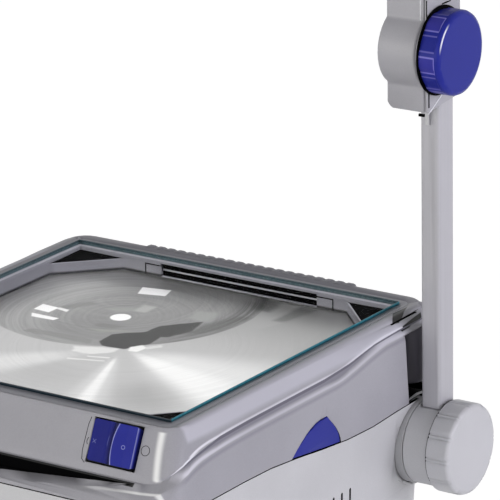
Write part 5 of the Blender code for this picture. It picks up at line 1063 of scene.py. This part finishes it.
# Painted shade for the top of the rear rim.
REAR_TOP_SHADE = MouldedPlastic("rear_top_shade_plastic", "grey_casing", "8B8A92", roughness=0.42, specular=0.18,
                          sparkle=0.07)
CASING_LIGHT = MouldedPlastic("light_plastic", "light_casing", "C4C4C7", roughness=0.42, wear_and_highlight=0.3,
                              sparkle=0.05)
KNOB = MouldedPlastic("knob_plastic", "light_casing", "C8C8CC", roughness=0.38, edge=0.0010, wear_and_highlight=1.0,
                      highlight=0.85, sparkle=0.04)
CARRIAGE_PLASTIC = MouldedPlastic("carriage_plastic", "light_casing", "A6A5AB", roughness=0.38, wear_and_highlight=0.6,
                                  highlight=0.6, sparkle=0.05)
# Painted highlight for the carriage cover's edges.
EDGE_HIGHLIGHT = MouldedPlastic("painted_edge_highlight", "light_casing", "F6F6FA", roughness=0.30)
TRIM = MouldedPlastic("trim_plastic", "dark_trim", "9C9CA4", roughness=0.40, wear_and_highlight=0.4, specular=0.22,
                      highlight=0.5, sparkle=0.06)
BAR = MouldedPlastic("bar_plastic", "dark_trim", "A2A2A8", roughness=0.44)
# The well's walls, with painted shade along their foot where they meet the lens.
WELL = MouldedPlastic("well_plastic", "dark_trim", "76767D", roughness=0.44, specular=0.3, sparkle=0.06,
                      foot=0.1846)
PLATE = MouldedPlastic("plate_plastic", "dark_trim", "A4A4A7", roughness=0.42, wear_and_highlight=1.0, highlight=0.8)
SHADE = MouldedPlastic("shade_plastic", "dark_trim", "57555D", roughness=0.46, specular=0.2)
BLACK = MouldedPlastic("black_moulding", "black_plastic", "141416", roughness=0.40, wear_and_highlight=0.08, specular=0.25)
# Flat black for black parts, and painted shade in gaps, seams, slits and openings.
BLACK_AND_SHADE = MouldedPlastic("flat_black_and_painted_shade", "black_plastic", "050506", roughness=0.70, wear_and_highlight=0.0, specular=0.02)
BLUE = MouldedPlastic("blue_moulding", "blue_plastic", "262D8E", roughness=0.34, grain=0.00001, wear_and_highlight=0.25,
                      specular=0.14, highlight=0.25)
KNOB_BLUE = FocusKnobFinish("focus_knob_moulding", "blue_plastic", "232A8C", roughness=0.32, grain=0.00001,
                            wear_and_highlight=0.5, specular=0.12, highlight=0.35)
ROCKER_BLUE = RockerFinish("rocker_moulding", "blue_plastic", "282F90")
RUBBER = SoftRubber("foot_rubber", "rubber", "232224")
STEEL = DrawnMetal("bright_steel_drawn", "bright_steel", "B9BBBD", roughness=0.28,
                   along=(700.0, 700.0, 700.0))
POST_METAL = DrawnMetal("post_enamel", "post_alloy", "B0AFB5", roughness=0.34, metallic=0.0, streak=0.03,
                        specular=1.0)
SHEET = DrawnMetal("rolled_sheet", "sheet_alloy", "A9ACAF", roughness=0.38, along=(30.0, 800.0, 800.0))
GLASS = StageGlassFinish("stage_glass_clear", "clear_glass", "FEFEFE")
GLASS_RIM = GroundEdge("stage_glass_ground_edge", "clear_glass", "14505C")
LENS_GLASS = OpticalGlass("lens_glass_clear", "clear_glass", "F2F7F8")
LENS_SHEET = FresnelSheet("fresnel_acrylic_painted_reflections", "acrylic", "A9AAA7")
MIRROR = MirrorCoat("mirror_silver", "mirror", "DDE2E6")
COPPER = WoundCopper("wound_copper", "copper_coil", "B5632E")
CERAMIC = MouldedPlastic("lamp_ceramic", "ceramic", "E4DFD2", roughness=0.55, grain=0.00006, wear_and_highlight=0.0)


@dataclass
class Bench:
    """Where meshes are cleaned, dressed, set on their bodies and reported."""

    nodes: dict[str, bpy.types.Object] = field(default_factory=lambda: frame["nodes"])
    left: set[str] = field(default_factory=lambda: set(frame["nodes"]))

    def body_of(self, node: str) -> str:
        """Returns the name of the body that carries a solid."""
        return self.nodes[node]["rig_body"]

    def copy(self, node: str) -> bmesh.types.BMesh:
        """Copies a solid's mesh and merges its loose triangles.

        Args:
            node: The solid's name.

        Returns:
            The merged mesh.
        """
        made = bmesh.new()
        made.from_mesh(self.nodes[node].data)
        bmesh.ops.remove_doubles(made, verts=made.verts, dist=MERGE)
        return made

    def place(self, name: str, source: bmesh.types.BMesh, finishes: list[Finish], body: str,
              stands_for: tuple[str, ...] = (), crease: float = 32.0) -> None:
        """Turns a mesh into a finished piece on its body.

        Args:
            name: The piece's name.
            source: Its mesh, in place, which is freed.
            finishes: Its materials, in the order of the faces' indices.
            body: The body that it rides on.
            stands_for: The solids that it replaces.
            crease: The angle in degrees from which an edge is sharp.
        """
        mesh = bpy.data.meshes.new(name)
        source.to_mesh(mesh)
        source.free()
        piece = bpy.data.objects.new(name, mesh)
        bpy.context.scene.collection.objects.link(piece)
        mesh.shade_smooth()
        mesh.set_sharp_from_angle(angle=math.radians(crease))
        piece.modifiers.new("Even shading", "WEIGHTED_NORMAL").keep_sharp = True
        for finish in finishes:
            mesh.materials.append(finish.build())
        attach(piece, body)
        if stands_for:
            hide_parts(*stands_for)
            self.left -= set(stands_for)
        LOG.info("%s: %d faces on %s", name, len(mesh.polygons), body)

    @staticmethod
    def paint(source: bmesh.types.BMesh, index: int, test: Callable[[Vector, Vector], bool]) -> None:
        """Gives a finish's index to the faces whose centre and normal pass a test.

        Args:
            source: The mesh.
            index: The finish's place in the piece's list.
            test: Takes a face's centre and normal.
        """
        for face in source.faces:
            if test(face.calc_center_median(), face.normal):
                face.material_index = index

    @staticmethod
    def paint_inside(source: bmesh.types.BMesh, index: int, reach: float = 0.5) -> None:
        """Paints the faces of a hollow piece that look at, or have behind them, another of its faces.

        Args:
            source: The mesh.
            index: The finish's place in the piece's list.
            reach: How far the other face may be.
        """
        tree = BVHTree.FromBMesh(source)
        middle = sum((vert.co for vert in source.verts), Vector()) / len(source.verts)
        for face in source.faces:
            centre = face.calc_center_median()
            out = ((centre - middle) * Vector((1.0, 1.0, 0.0))).normalized()
            seen = tree.ray_cast(centre + face.normal * 0.0001, face.normal, reach)[0]
            behind = tree.ray_cast(centre + out * 0.0003, out, reach)[0]
            if seen is not None or behind is not None:
                face.material_index = index

    @staticmethod
    def box(source: bmesh.types.BMesh, low: Vector, high: Vector) -> None:
        """Adds a box between two corners.

        Args:
            source: The mesh that it is added to.
            low: Its lowest corner.
            high: Its highest.
        """
        made = bmesh.ops.create_cube(source, size=1.0)["verts"]
        bmesh.ops.scale(source, vec=high - low, verts=made)
        bmesh.ops.translate(source, vec=(low + high) / 2, verts=made)

    def shade_disc(self, knob: str, radius: float, thickness: float) -> None:
        """Sets a thin black disc behind a knob that turns about X, as painted shade in the gap behind the
        knob.

        Args:
            knob: The knob's solid.
            radius: The disc's radius.
            thickness: Its thickness.
        """
        low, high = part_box(knob)
        source = bmesh.new()
        made = bmesh.ops.create_cone(source, cap_ends=True, segments=64, radius1=radius, radius2=radius,
                                     depth=thickness)["verts"]
        bmesh.ops.rotate(source, cent=(0, 0, 0), matrix=Matrix.Rotation(math.pi / 2, 3, "Y"), verts=made)
        middle = (low + high) / 2
        bmesh.ops.translate(source, vec=(low.x - thickness / 2, middle.y, middle.z), verts=made)
        self.place(f"{knob}_washer", source, [BLACK_AND_SHADE], self.body_of(knob))

    def redress(self, finish: Finish, *nodes: str, crease: float = 32.0) -> None:
        """Replaces solids with their own merged and shaded copies."""
        for node in nodes:
            self.place(f"{node}_dressed", self.copy(node), [finish], self.body_of(node), (node,), crease)


@dataclass
class StageLid:
    """The upper casing with the glass, its frame, the lens, the rocker and the latches.

    Lengths across and along are measured from the middle of the glass, and drops from its top face.
    """

    bench: Bench
    glass_bevel: float = 0.0006
    gusset_drop: float = 0.0078
    gusset_rim: float = 0.0013
    # Where the upper casing's faces are painted in shade: the seam, round the latches, the slit beside the
    # ridge, the ridge's under side and the rear rim's top.
    seam_drops: tuple[float, float] = (0.0540, 0.0705)
    latch_gap: float = 0.002
    slit_across: tuple[float, float] = (0.1650, 0.1675)
    slit_along: tuple[float, float] = (0.1105, 0.1475)
    slit_drop: float = 0.0140
    groove_across: tuple[float, float] = (0.1690, 0.1722)
    rear_rim: float = 0.1575
    wall_face: float = 0.1465
    slot_ends: tuple[float, float] = (-0.0685, 0.0775)
    slot_drops: tuple[float, float] = (0.0062, 0.0167)
    # The black sheet of painted shade in the slot, and the black outlines of the clips.
    sheet_along: tuple[float, float] = (0.1508, 0.1513)
    sheet_past_end: float = 0.003
    sheet_past_foot: float = 0.0006
    sheet_past_top: float = 0.001
    tab_drop: float = 0.0085
    tab_reach: float = 0.0150
    lens_drop: float = 0.0168
    column_place: tuple[float, float] = (0.1630, 0.1420)
    column_radius: float = 0.0125
    column_drops: tuple[float, float] = (0.0137, 0.0575)
    # Corners of the black block painted as shade behind the notch column.
    filler: tuple[Colour, Colour] = ((0.1500, 0.1560, -0.0640), (0.1615, 0.1660, -0.0140))
    line: float = 0.0008
    # The engraved outline beside the rocker, drawn as thin black lines of painted shade.
    brackets: tuple[tuple[tuple[float, float], ...], ...] = (
        ((-0.0238, 0.0150), (-0.0250, 0.0100), (-0.0254, -0.0090), (-0.0243, -0.0150), (-0.0215, -0.0172)),
        ((-0.0225, 0.0005), (-0.0233, -0.0010), (-0.0233, -0.0028), (-0.0225, -0.0042)))
    ring_place: float = 0.0262
    ring_radius: float = 0.0035
    ring_steps: int = 20
    engraving: float = 0.00035
    middle: Vector = field(default_factory=glass_centre)

    def build(self) -> None:
        """Builds the lid from the casing inwards."""
        self.build_casing()
        self.bench.redress(SHADE, "corner_fairing", crease=34.0)
        self.build_notch()
        self.bench.redress(BLACK_AND_SHADE, "front_insert")
        self.build_frame()
        self.build_slot()
        self.build_glass()
        self.bench.redress(BAR, "slot_bar")
        self.bench.redress(LENS_SHEET, "fresnel_lens")
        self.bench.redress(ROCKER_BLUE, "rocker", crease=24.0)
        self.build_marks()
        self.bench.redress(STEEL, "rocker_pin")
        self.bench.redress(BLACK, "switch_body")
        self.bench.redress(BLUE, "latch_button_right", "latch_button_left")

    def build_casing(self) -> None:
        """Dresses the upper casing, with painted shade on its seam edge, round its latch openings, in the
        slit beside the ridge, on the ridge's under side and on the rear rim's top.
        """
        source = self.bench.copy("upper_casing")
        latches = [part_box(name) for name in ("latch_button_right", "latch_button_left")]

        def dark(centre: Vector, normal: Vector) -> bool:
            """Tells whether a face gets painted shade: in the seam, a latch opening or the slit beside the
            ridge.

            Args:
                centre: The face's centre.
                normal: Its normal.

            Returns:
                Whether the face is painted in shade.
            """
            across, along, height = centre - self.middle
            seam = normal.z < -0.9 and within(-height, self.seam_drops)
            latch = abs(normal.x) < 0.6 and any(
                all(within(centre[axis], (low[axis] - self.latch_gap, high[axis] + self.latch_gap))
                    for axis in range(3)) for low, high in latches)
            slit = within(across, self.slit_across) and within(along, self.slit_along)
            return seam or latch or (slit and -height < self.slit_drop)

        def groove(centre: Vector, normal: Vector) -> bool:
            """Tells whether a face is on the under side of the upper ridge, which is painted in shade."""
            across, _, height = centre - self.middle
            return within(abs(across), self.groove_across) and height > -0.045 and normal.z < -0.25

        def rear(centre: Vector, normal: Vector) -> bool:
            """Tells whether a face is on top of the rear rim, which is painted in shade."""
            return centre.y - self.middle.y > self.rear_rim and normal.z > 0.3

        for index, test in ((2, groove), (3, rear), (1, dark)):
            self.bench.paint(source, index, test)
        finishes = [CASING, BLACK_AND_SHADE, GROOVE_SHADE, REAR_TOP_SHADE]
        self.bench.place("upper_casing_dressed", source, finishes, "lid", ("upper_casing",), 30.0)

    def build_notch(self) -> None:
        """Sets the column in the corner notch, in the shade finish, and fills the gap behind it with a black
        block as painted shade.
        """
        source = bmesh.new()
        top, foot = self.column_drops
        made = bmesh.ops.create_cone(source, cap_ends=True, segments=40, radius1=self.column_radius,
                                     radius2=self.column_radius, depth=foot - top)["verts"]
        place = self.middle + Vector((*self.column_place, -(foot + top) / 2))
        bmesh.ops.translate(source, vec=place, verts=made)
        low = min(vert.co.z for vert in source.verts)
        rim = [edge for edge in source.edges if all(vert.co.z < low + MERGE for vert in edge.verts)]
        bmesh.ops.bevel(source, geom=rim, offset=self.column_radius / 4, affect="EDGES", segments=4,
                        profile=0.5, material=-1)
        self.bench.place("notch_column", source, [SHADE], "lid", (), 40.0)
        # A black block as painted shade in the gap behind the column.
        source = bmesh.new()
        self.block(source, *self.filler)
        self.bench.place("notch_shade_block", source, [BLACK_AND_SHADE], "lid")

    def build_frame(self) -> None:
        """Dresses the stage frame: dark well walls, and black gussets with a pale rim on the slant."""
        source = self.bench.copy("stage_frame")
        top = self.middle.z - self.gusset_drop
        rim = self.middle.z - self.gusset_drop / 2
        self.bench.paint(source, 1, lambda centre, normal: centre.z < rim and abs(normal.z) < 0.7)
        flats = [face for face in source.faces
                 if face.normal.z > 0.9 and abs(face.calc_center_median().z - top) < 0.0015]
        for face in flats:
            face.material_index = 2
        rims = bmesh.ops.inset_region(source, faces=flats, thickness=self.gusset_rim, depth=0.0,
                                      use_even_offset=True, use_boundary=True)["faces"]
        for face in rims:
            edge = max(face.edges, key=lambda edge: edge.calc_length())
            side = edge.verts[0].co - edge.verts[1].co
            slant = min(abs(side.x), abs(side.y)) > 0.3 * side.length
            face.material_index = 0 if slant else 2
        self.bench.place("stage_frame_dressed", source, [TRIM, WELL, BLACK_AND_SHADE], "lid", ("stage_frame",))

    def block(self, source: bmesh.types.BMesh, low: Colour, high: Colour) -> None:
        """Adds a box between two corners measured from the middle of the glass."""
        self.bench.box(source, Vector(low) + self.middle, Vector(high) + self.middle)

    def build_slot(self) -> None:
        """Closes the slot with a black sheet as painted shade, and outlines the clips at its ends with black
        lines of painted shade.
        """
        source = bmesh.new()
        left, right = self.slot_ends
        top, foot = self.slot_drops
        near, far = self.sheet_along
        self.block(source, (left - self.sheet_past_end, near, -foot - self.sheet_past_foot),
                   (right + self.sheet_past_end, far, self.sheet_past_top - top))
        front = self.wall_face - 0.0003
        rear = self.wall_face + 0.0005
        for side in Side:
            start = left if side is Side.LEFT else right
            end = start + side.value * self.tab_reach
            near, far = sorted((start, end))
            self.block(source, (near, front, -self.tab_drop), (far, rear, self.line - self.tab_drop))
            near, far = sorted((end, end - side.value * self.line))
            self.block(source, (near, front, -self.lens_drop), (far, rear, -self.tab_drop))
        self.bench.place("slot_shadow_sheet", source, [BLACK_AND_SHADE], "lid")

    def build_marks(self) -> None:
        """Draws the engraved outline beside the rocker as thin black lines of painted shade: a long bracket,
        a short one and a ring.
        """
        low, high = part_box("rocker")
        centre = (low + high) / 2
        up = Vector((0.0, math.sin(PANEL_LEAN), math.cos(PANEL_LEAN)))
        out = Vector((0.0, -math.cos(PANEL_LEAN), math.sin(PANEL_LEAN)))
        turn = Matrix((Vector((1, 0, 0)), up, out)).transposed().to_4x4()
        panel = self.bench.copy("upper_casing")
        tree = BVHTree.FromBMesh(panel)
        panel.free()

        def touch(point: Vector) -> Vector:
            """Drops a point of the rocker's plane on the panel."""
            above = centre + turn.to_3x3() @ Vector((point.x, point.y, 0.020))
            return tree.ray_cast(above, -out)[0] or above

        paths = [[Vector(point) for point in path] for path in self.brackets]
        angles = [math.tau * index / self.ring_steps for index in range(self.ring_steps + 1)]
        ring = [Vector((self.ring_place + self.ring_radius * math.cos(angle),
                        self.ring_radius * math.sin(angle))) for angle in angles]
        source = bmesh.new()
        for path in paths + [ring]:
            for start, end in zip(path, path[1:]):
                first = touch(start)
                last = touch(end)
                run = last - first
                made = bmesh.ops.create_cube(source, size=1.0)["verts"]
                size = (run.length + self.engraving / 2, self.engraving, self.engraving)
                bmesh.ops.scale(source, vec=size, verts=made)
                along = run.normalized()
                lay = Matrix((along, out.cross(along), out)).transposed().to_4x4()
                bmesh.ops.transform(source, matrix=Matrix.Translation((first + last) / 2) @ lay, verts=made)
        self.bench.place("panel_engraving_shade", source, [BLACK_AND_SHADE], "lid")

    def build_glass(self) -> None:
        """Makes the stage glass with polished faces and ground edges."""
        low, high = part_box("stage_glass")
        source = bmesh.new()
        self.bench.box(source, low, high)
        bmesh.ops.bevel(source, geom=list(source.edges), offset=self.glass_bevel, affect="EDGES", segments=2,
                        profile=0.5, material=-1)
        for face in source.faces:
            face.material_index = 0 if abs(face.normal.z) > 0.95 else 1
        self.bench.place("stage_glass_dressed", source, [GLASS, GLASS_RIM], "lid", ("stage_glass",))


@dataclass
class Base:
    """The lower casing with its plate, feet, inlet, hinges and hub."""

    bench: Bench
    seam_drops: tuple[float, float] = (0.0540, 0.0720)

    def build(self) -> None:
        """Builds the base."""
        self.build_casing()
        self.bench.redress(BLACK, "base_plate")
        self.bench.redress(RUBBER, "foot_front_left", "foot_front_right", "foot_rear_left",
                           "foot_rear_right")
        self.bench.redress(BLACK, "mains_inlet", "interlock_switch")
        self.bench.redress(SHEET, "hinge_base_left", "hinge_base_right", "hinge_lid_left", "hinge_lid_right")
        self.bench.redress(STEEL, "hinge_pin_left", "hinge_pin_right")

    def build_casing(self) -> None:
        """Dresses the lower casing, black inside and in its vents, and with painted shade on its seam edge.
        """
        source = self.bench.copy("lower_casing")
        top = glass_centre().z

        def seam(centre: Vector, normal: Vector) -> bool:
            """Tells whether a face is on the seam edge."""
            return normal.z > 0.6 and within(top - centre.z, self.seam_drops)

        self.bench.paint_inside(source, 1)
        # Painted shade on the seam edge, in the gap under the lid.
        self.bench.paint(source, 1, seam)
        finishes = [CASING_LIGHT, BLACK_AND_SHADE]
        self.bench.place("lower_casing_dressed", source, finishes, "base", ("lower_casing",), 30.0)


@dataclass
class LampHouse:
    """The lamp, its reflector and condenser, the transformer and the fan inside the base."""

    bench: Bench

    def build(self) -> None:
        """Builds the lamp house."""
        self.bench.redress(SHEET, "heat_shield")
        self.bench.redress(MIRROR, "reflector")
        self.bench.redress(SHEET, "reflector_stand")
        self.bench.redress(LENS_GLASS, "halogen_lamp")
        self.bench.redress(CERAMIC, "lamp_holder")
        self.bench.redress(LENS_GLASS, "condenser_lens")
        self.bench.redress(SHEET, "transformer_core")
        self.bench.redress(COPPER, "transformer_coil")
        self.bench.redress(BLACK, "fan_housing", "fan_impeller")


@dataclass
class ArmHub:
    """The hub on the base's side, its clamp knob, the post and what it carries."""

    bench: Bench
    shade_disc: tuple[float, float] = (0.0346, 0.0005)

    def build(self) -> None:
        """Builds the hub and the post."""
        self.bench.redress(PLATE, "hub_plate")
        self.bench.redress(STEEL, "hub_bolt")
        self.bench.redress(CASING_LIGHT, "hub_barrel")
        self.bench.redress(KNOB, "clamp_knob", crease=40.0)
        # Painted shade in the gap between the clamp knob and the barrel.
        self.bench.shade_disc("clamp_knob", *self.shade_disc)
        self.bench.redress(POST_METAL, "post")
        self.bench.redress(BLACK, "rack")
        self.bench.redress(CASING_LIGHT, "post_cap")


@dataclass
class FocusCarriage:
    """The carriage that slides on the post, and the blue knob that drives it."""

    bench: Bench
    shade_disc: tuple[float, float] = (0.0332, 0.0008)
    seams: tuple[tuple[Colour, Colour], ...] = (
        ((0.2028, 0.1036, 0.2358), (0.2034, 0.1042, 0.2500)),
        ((0.2036, 0.1046, 0.1700), (0.2043, 0.1056, 0.1835)),
        ((0.2036, 0.1236, 0.2430), (0.2042, 0.1356, 0.2440)),
        ((0.1962, 0.1032, 0.1630), (0.2008, 0.1048, 0.1650)))
    # Where the two painted highlight strips lie: an upright one and one along the cover's sloping lower
    # edge.
    upright: tuple[Colour, Colour] = ((0.1981, 0.1030, 0.2275), (0.1986, 0.1035, 0.2505))
    slope: tuple[Colour, Colour] = ((0.2038, -0.0118, -0.0004), (0.2043, 0.0118, 0.0004))
    slope_place: Colour = (0.0, 0.1147, 0.1711)
    slope_turn: float = math.radians(28.6)

    def build(self) -> None:
        """Builds the carriage."""
        self.bench.redress(CARRIAGE_PLASTIC, "carriage_body", "carriage_cover", crease=24.0)
        self.bench.redress(CASING_LIGHT, "guide_strip")
        self.bench.redress(BLACK, "pinion")
        self.bench.redress(STEEL, "pinion_shaft")
        self.bench.redress(KNOB_BLUE, "focus_knob", crease=40.0)
        # Painted shade in the gap between the focus knob and the carriage.
        self.bench.shade_disc("focus_knob", *self.shade_disc)
        self.build_trim()

    def build_trim(self) -> None:
        """Adds the cover's dark seam, painted highlights on its edges, the slit above the knob and the clip.
        """
        body = self.bench.body_of("carriage_cover")
        middle = glass_centre()
        dark = bmesh.new()
        for low, high in self.seams:
            self.bench.box(dark, middle + Vector(low), middle + Vector(high))
        self.bench.place("carriage_seams", dark, [BLACK_AND_SHADE], body)
        # Painted highlights: an upright strip and one along the cover's sloping lower edge.
        bright = bmesh.new()
        low, high = (middle + Vector(corner) for corner in self.upright)
        self.bench.box(bright, low, high)
        start = len(bright.verts)
        low, high = (Vector(corner) for corner in self.slope)
        self.bench.box(bright, low, high)
        made = list(bright.verts)[start:]
        turn = Matrix.Rotation(self.slope_turn, 3, "X")
        bmesh.ops.rotate(bright, cent=(0, 0, 0), matrix=turn, verts=made)
        bmesh.ops.translate(bright, vec=middle + Vector(self.slope_place), verts=made)
        self.bench.place("carriage_edge_highlight", bright, [EDGE_HIGHLIGHT], body)


@dataclass
class ProjectionHead:
    """The head arm with the lens barrel and the tilting mirror."""

    bench: Bench

    def build(self) -> None:
        """Builds the head."""
        self.bench.redress(CASING_LIGHT, "head_arm")
        self.bench.redress(BLACK, "lens_barrel")
        self.bench.redress(LENS_GLASS, "lens_lower", "lens_upper")
        self.bench.redress(CASING_LIGHT, "mirror_bracket")
        self.bench.redress(STEEL, "mirror_pin")
        self.bench.redress(CASING_LIGHT, "mirror_frame")
        self.bench.redress(MIRROR, "mirror_glass")


@dataclass(frozen=True)
class Softbox:
    """A soft lamp: its place from the glass and its size in metres, its watts and its colour."""

    name: str
    offset: Colour
    size: tuple[float, float]
    power: float
    colour: str


@dataclass
class Studio:
    """The floor, the soft lamps and the camera."""

    bench: Bench
    azimuth: float = 34.37
    elevation: float = 17.83
    roll: float = -1.06
    lens: float = 278.5
    eye: Colour = (1.6176, -2.1945, 0.9317)
    floor_half: float = 6.0
    horizon: float = 0.84
    zenith: float = 0.07
    fade: tuple[float, float] = (-0.10, -0.75)
    sensor: float = 36.0
    reach: float = 50.0
    softboxes: tuple[Softbox, ...] = (
        Softbox("right_softbox", (2.4, 0.3, 0.35), (1.4, 1.4), 29.0, "F6F4FF"),
        Softbox("front_softbox", (-0.9, -2.3, 0.45), (1.4, 1.4), 16.0, "FFFDF6"),
        Softbox("corner_strip", (0.75, -2.3, 0.55), (0.20, 1.5), 10.0, "FFFFFF"))

    def build(self) -> None:
        """Builds the studio round the object."""
        self.build_floor()
        self.build_world()
        centre = glass_centre()
        for softbox in self.softboxes:
            self.lamp(softbox, centre)
        self.build_camera(centre)

    def build_floor(self) -> None:
        """Lays the floor."""
        source = bmesh.new()
        bmesh.ops.create_grid(source, x_segments=1, y_segments=1, size=self.floor_half)
        mesh = bpy.data.meshes.new("floor")
        source.to_mesh(mesh)
        source.free()
        floor = bpy.data.objects.new("floor", mesh)
        bpy.context.scene.collection.objects.link(floor)
        mesh.materials.append(FloorFinish("floor_paper", "", "FAFAFA").build())

    def build_world(self) -> None:
        """Sets a surround that is pale at eye height, dark overhead and white where it is seen."""
        world = bpy.data.worlds.new("studio")
        bpy.context.scene.world = world
        world.use_nodes = True
        net = Network(world.node_tree)
        height = net.axes(net.signal(net.node("ShaderNodeNewGeometry"), "Incoming"))[2]
        strength = net.step(height, *self.fade, self.horizon, self.zenith)
        soft = net.node("ShaderNodeBackground", None, {"Color": WHITE, "Strength": strength})
        white = net.node("ShaderNodeBackground", None, {"Color": WHITE})
        seen = net.rays("Is Camera Ray", "Is Glossy Ray", "Is Transmission Ray")
        net.node("ShaderNodeOutputWorld", None, {"Surface": net.mixed(seen, soft, white)})

    @staticmethod
    def lamp(softbox: Softbox, target: Vector) -> None:
        """Adds a soft lamp that faces a point.

        Args:
            softbox: What the lamp is like.
            target: The point that it faces, from which its place is measured.
        """
        data = bpy.data.lights.new(softbox.name, "AREA")
        data.shape = "RECTANGLE"
        data.size, data.size_y = softbox.size
        data.energy = softbox.power
        data.color = linear(softbox.colour)
        lamp = bpy.data.objects.new(softbox.name, data)
        bpy.context.scene.collection.objects.link(lamp)
        place = target + Vector(softbox.offset)
        lamp.location = place
        lamp.rotation_euler = (target - place).to_track_quat("-Z", "Y").to_euler()

    def build_camera(self, centre: Vector) -> None:
        """Sets the camera at the photograph's viewing angle.

        Args:
            centre: The middle of the glass's top face, from which the eye was measured.
        """
        turn, rise, roll = (math.radians(angle) for angle in (self.azimuth, self.elevation, self.roll))
        back = Vector((math.sin(turn) * math.cos(rise), -math.cos(turn) * math.cos(rise), math.sin(rise)))
        right = Vector((math.cos(turn), math.sin(turn), 0.0))
        up = back.cross(right)
        level = Matrix((right, up, back)).transposed()
        data = bpy.data.cameras.new("camera")
        data.lens = self.lens
        data.sensor_width = self.sensor
        data.clip_end = self.reach
        camera = bpy.data.objects.new("camera", data)
        bpy.context.scene.collection.objects.link(camera)
        turned = level @ Matrix.Rotation(roll, 3, "Z")
        camera.matrix_world = Matrix.Translation(centre + Vector(self.eye)) @ turned.to_4x4()
        bpy.context.scene.camera = camera


def main() -> None:
    """Builds every sub-assembly and the studio."""
    logging.basicConfig(level=logging.INFO, format="%(name)s %(message)s")
    bpy.context.scene.view_settings.view_transform = "Standard"
    bench = Bench()
    for assembly in (StageLid, Base, LampHouse, ArmHub, FocusCarriage, ProjectionHead):
        LOG.info("building %s", assembly.__name__)
        assembly(bench).build()
    for name in sorted(bench.left):
        LOG.warning("solid %s has no dressed piece", name)
    Studio(bench).build()
    bpy.context.view_layer.update()


if __name__ == "__main__":
    main()
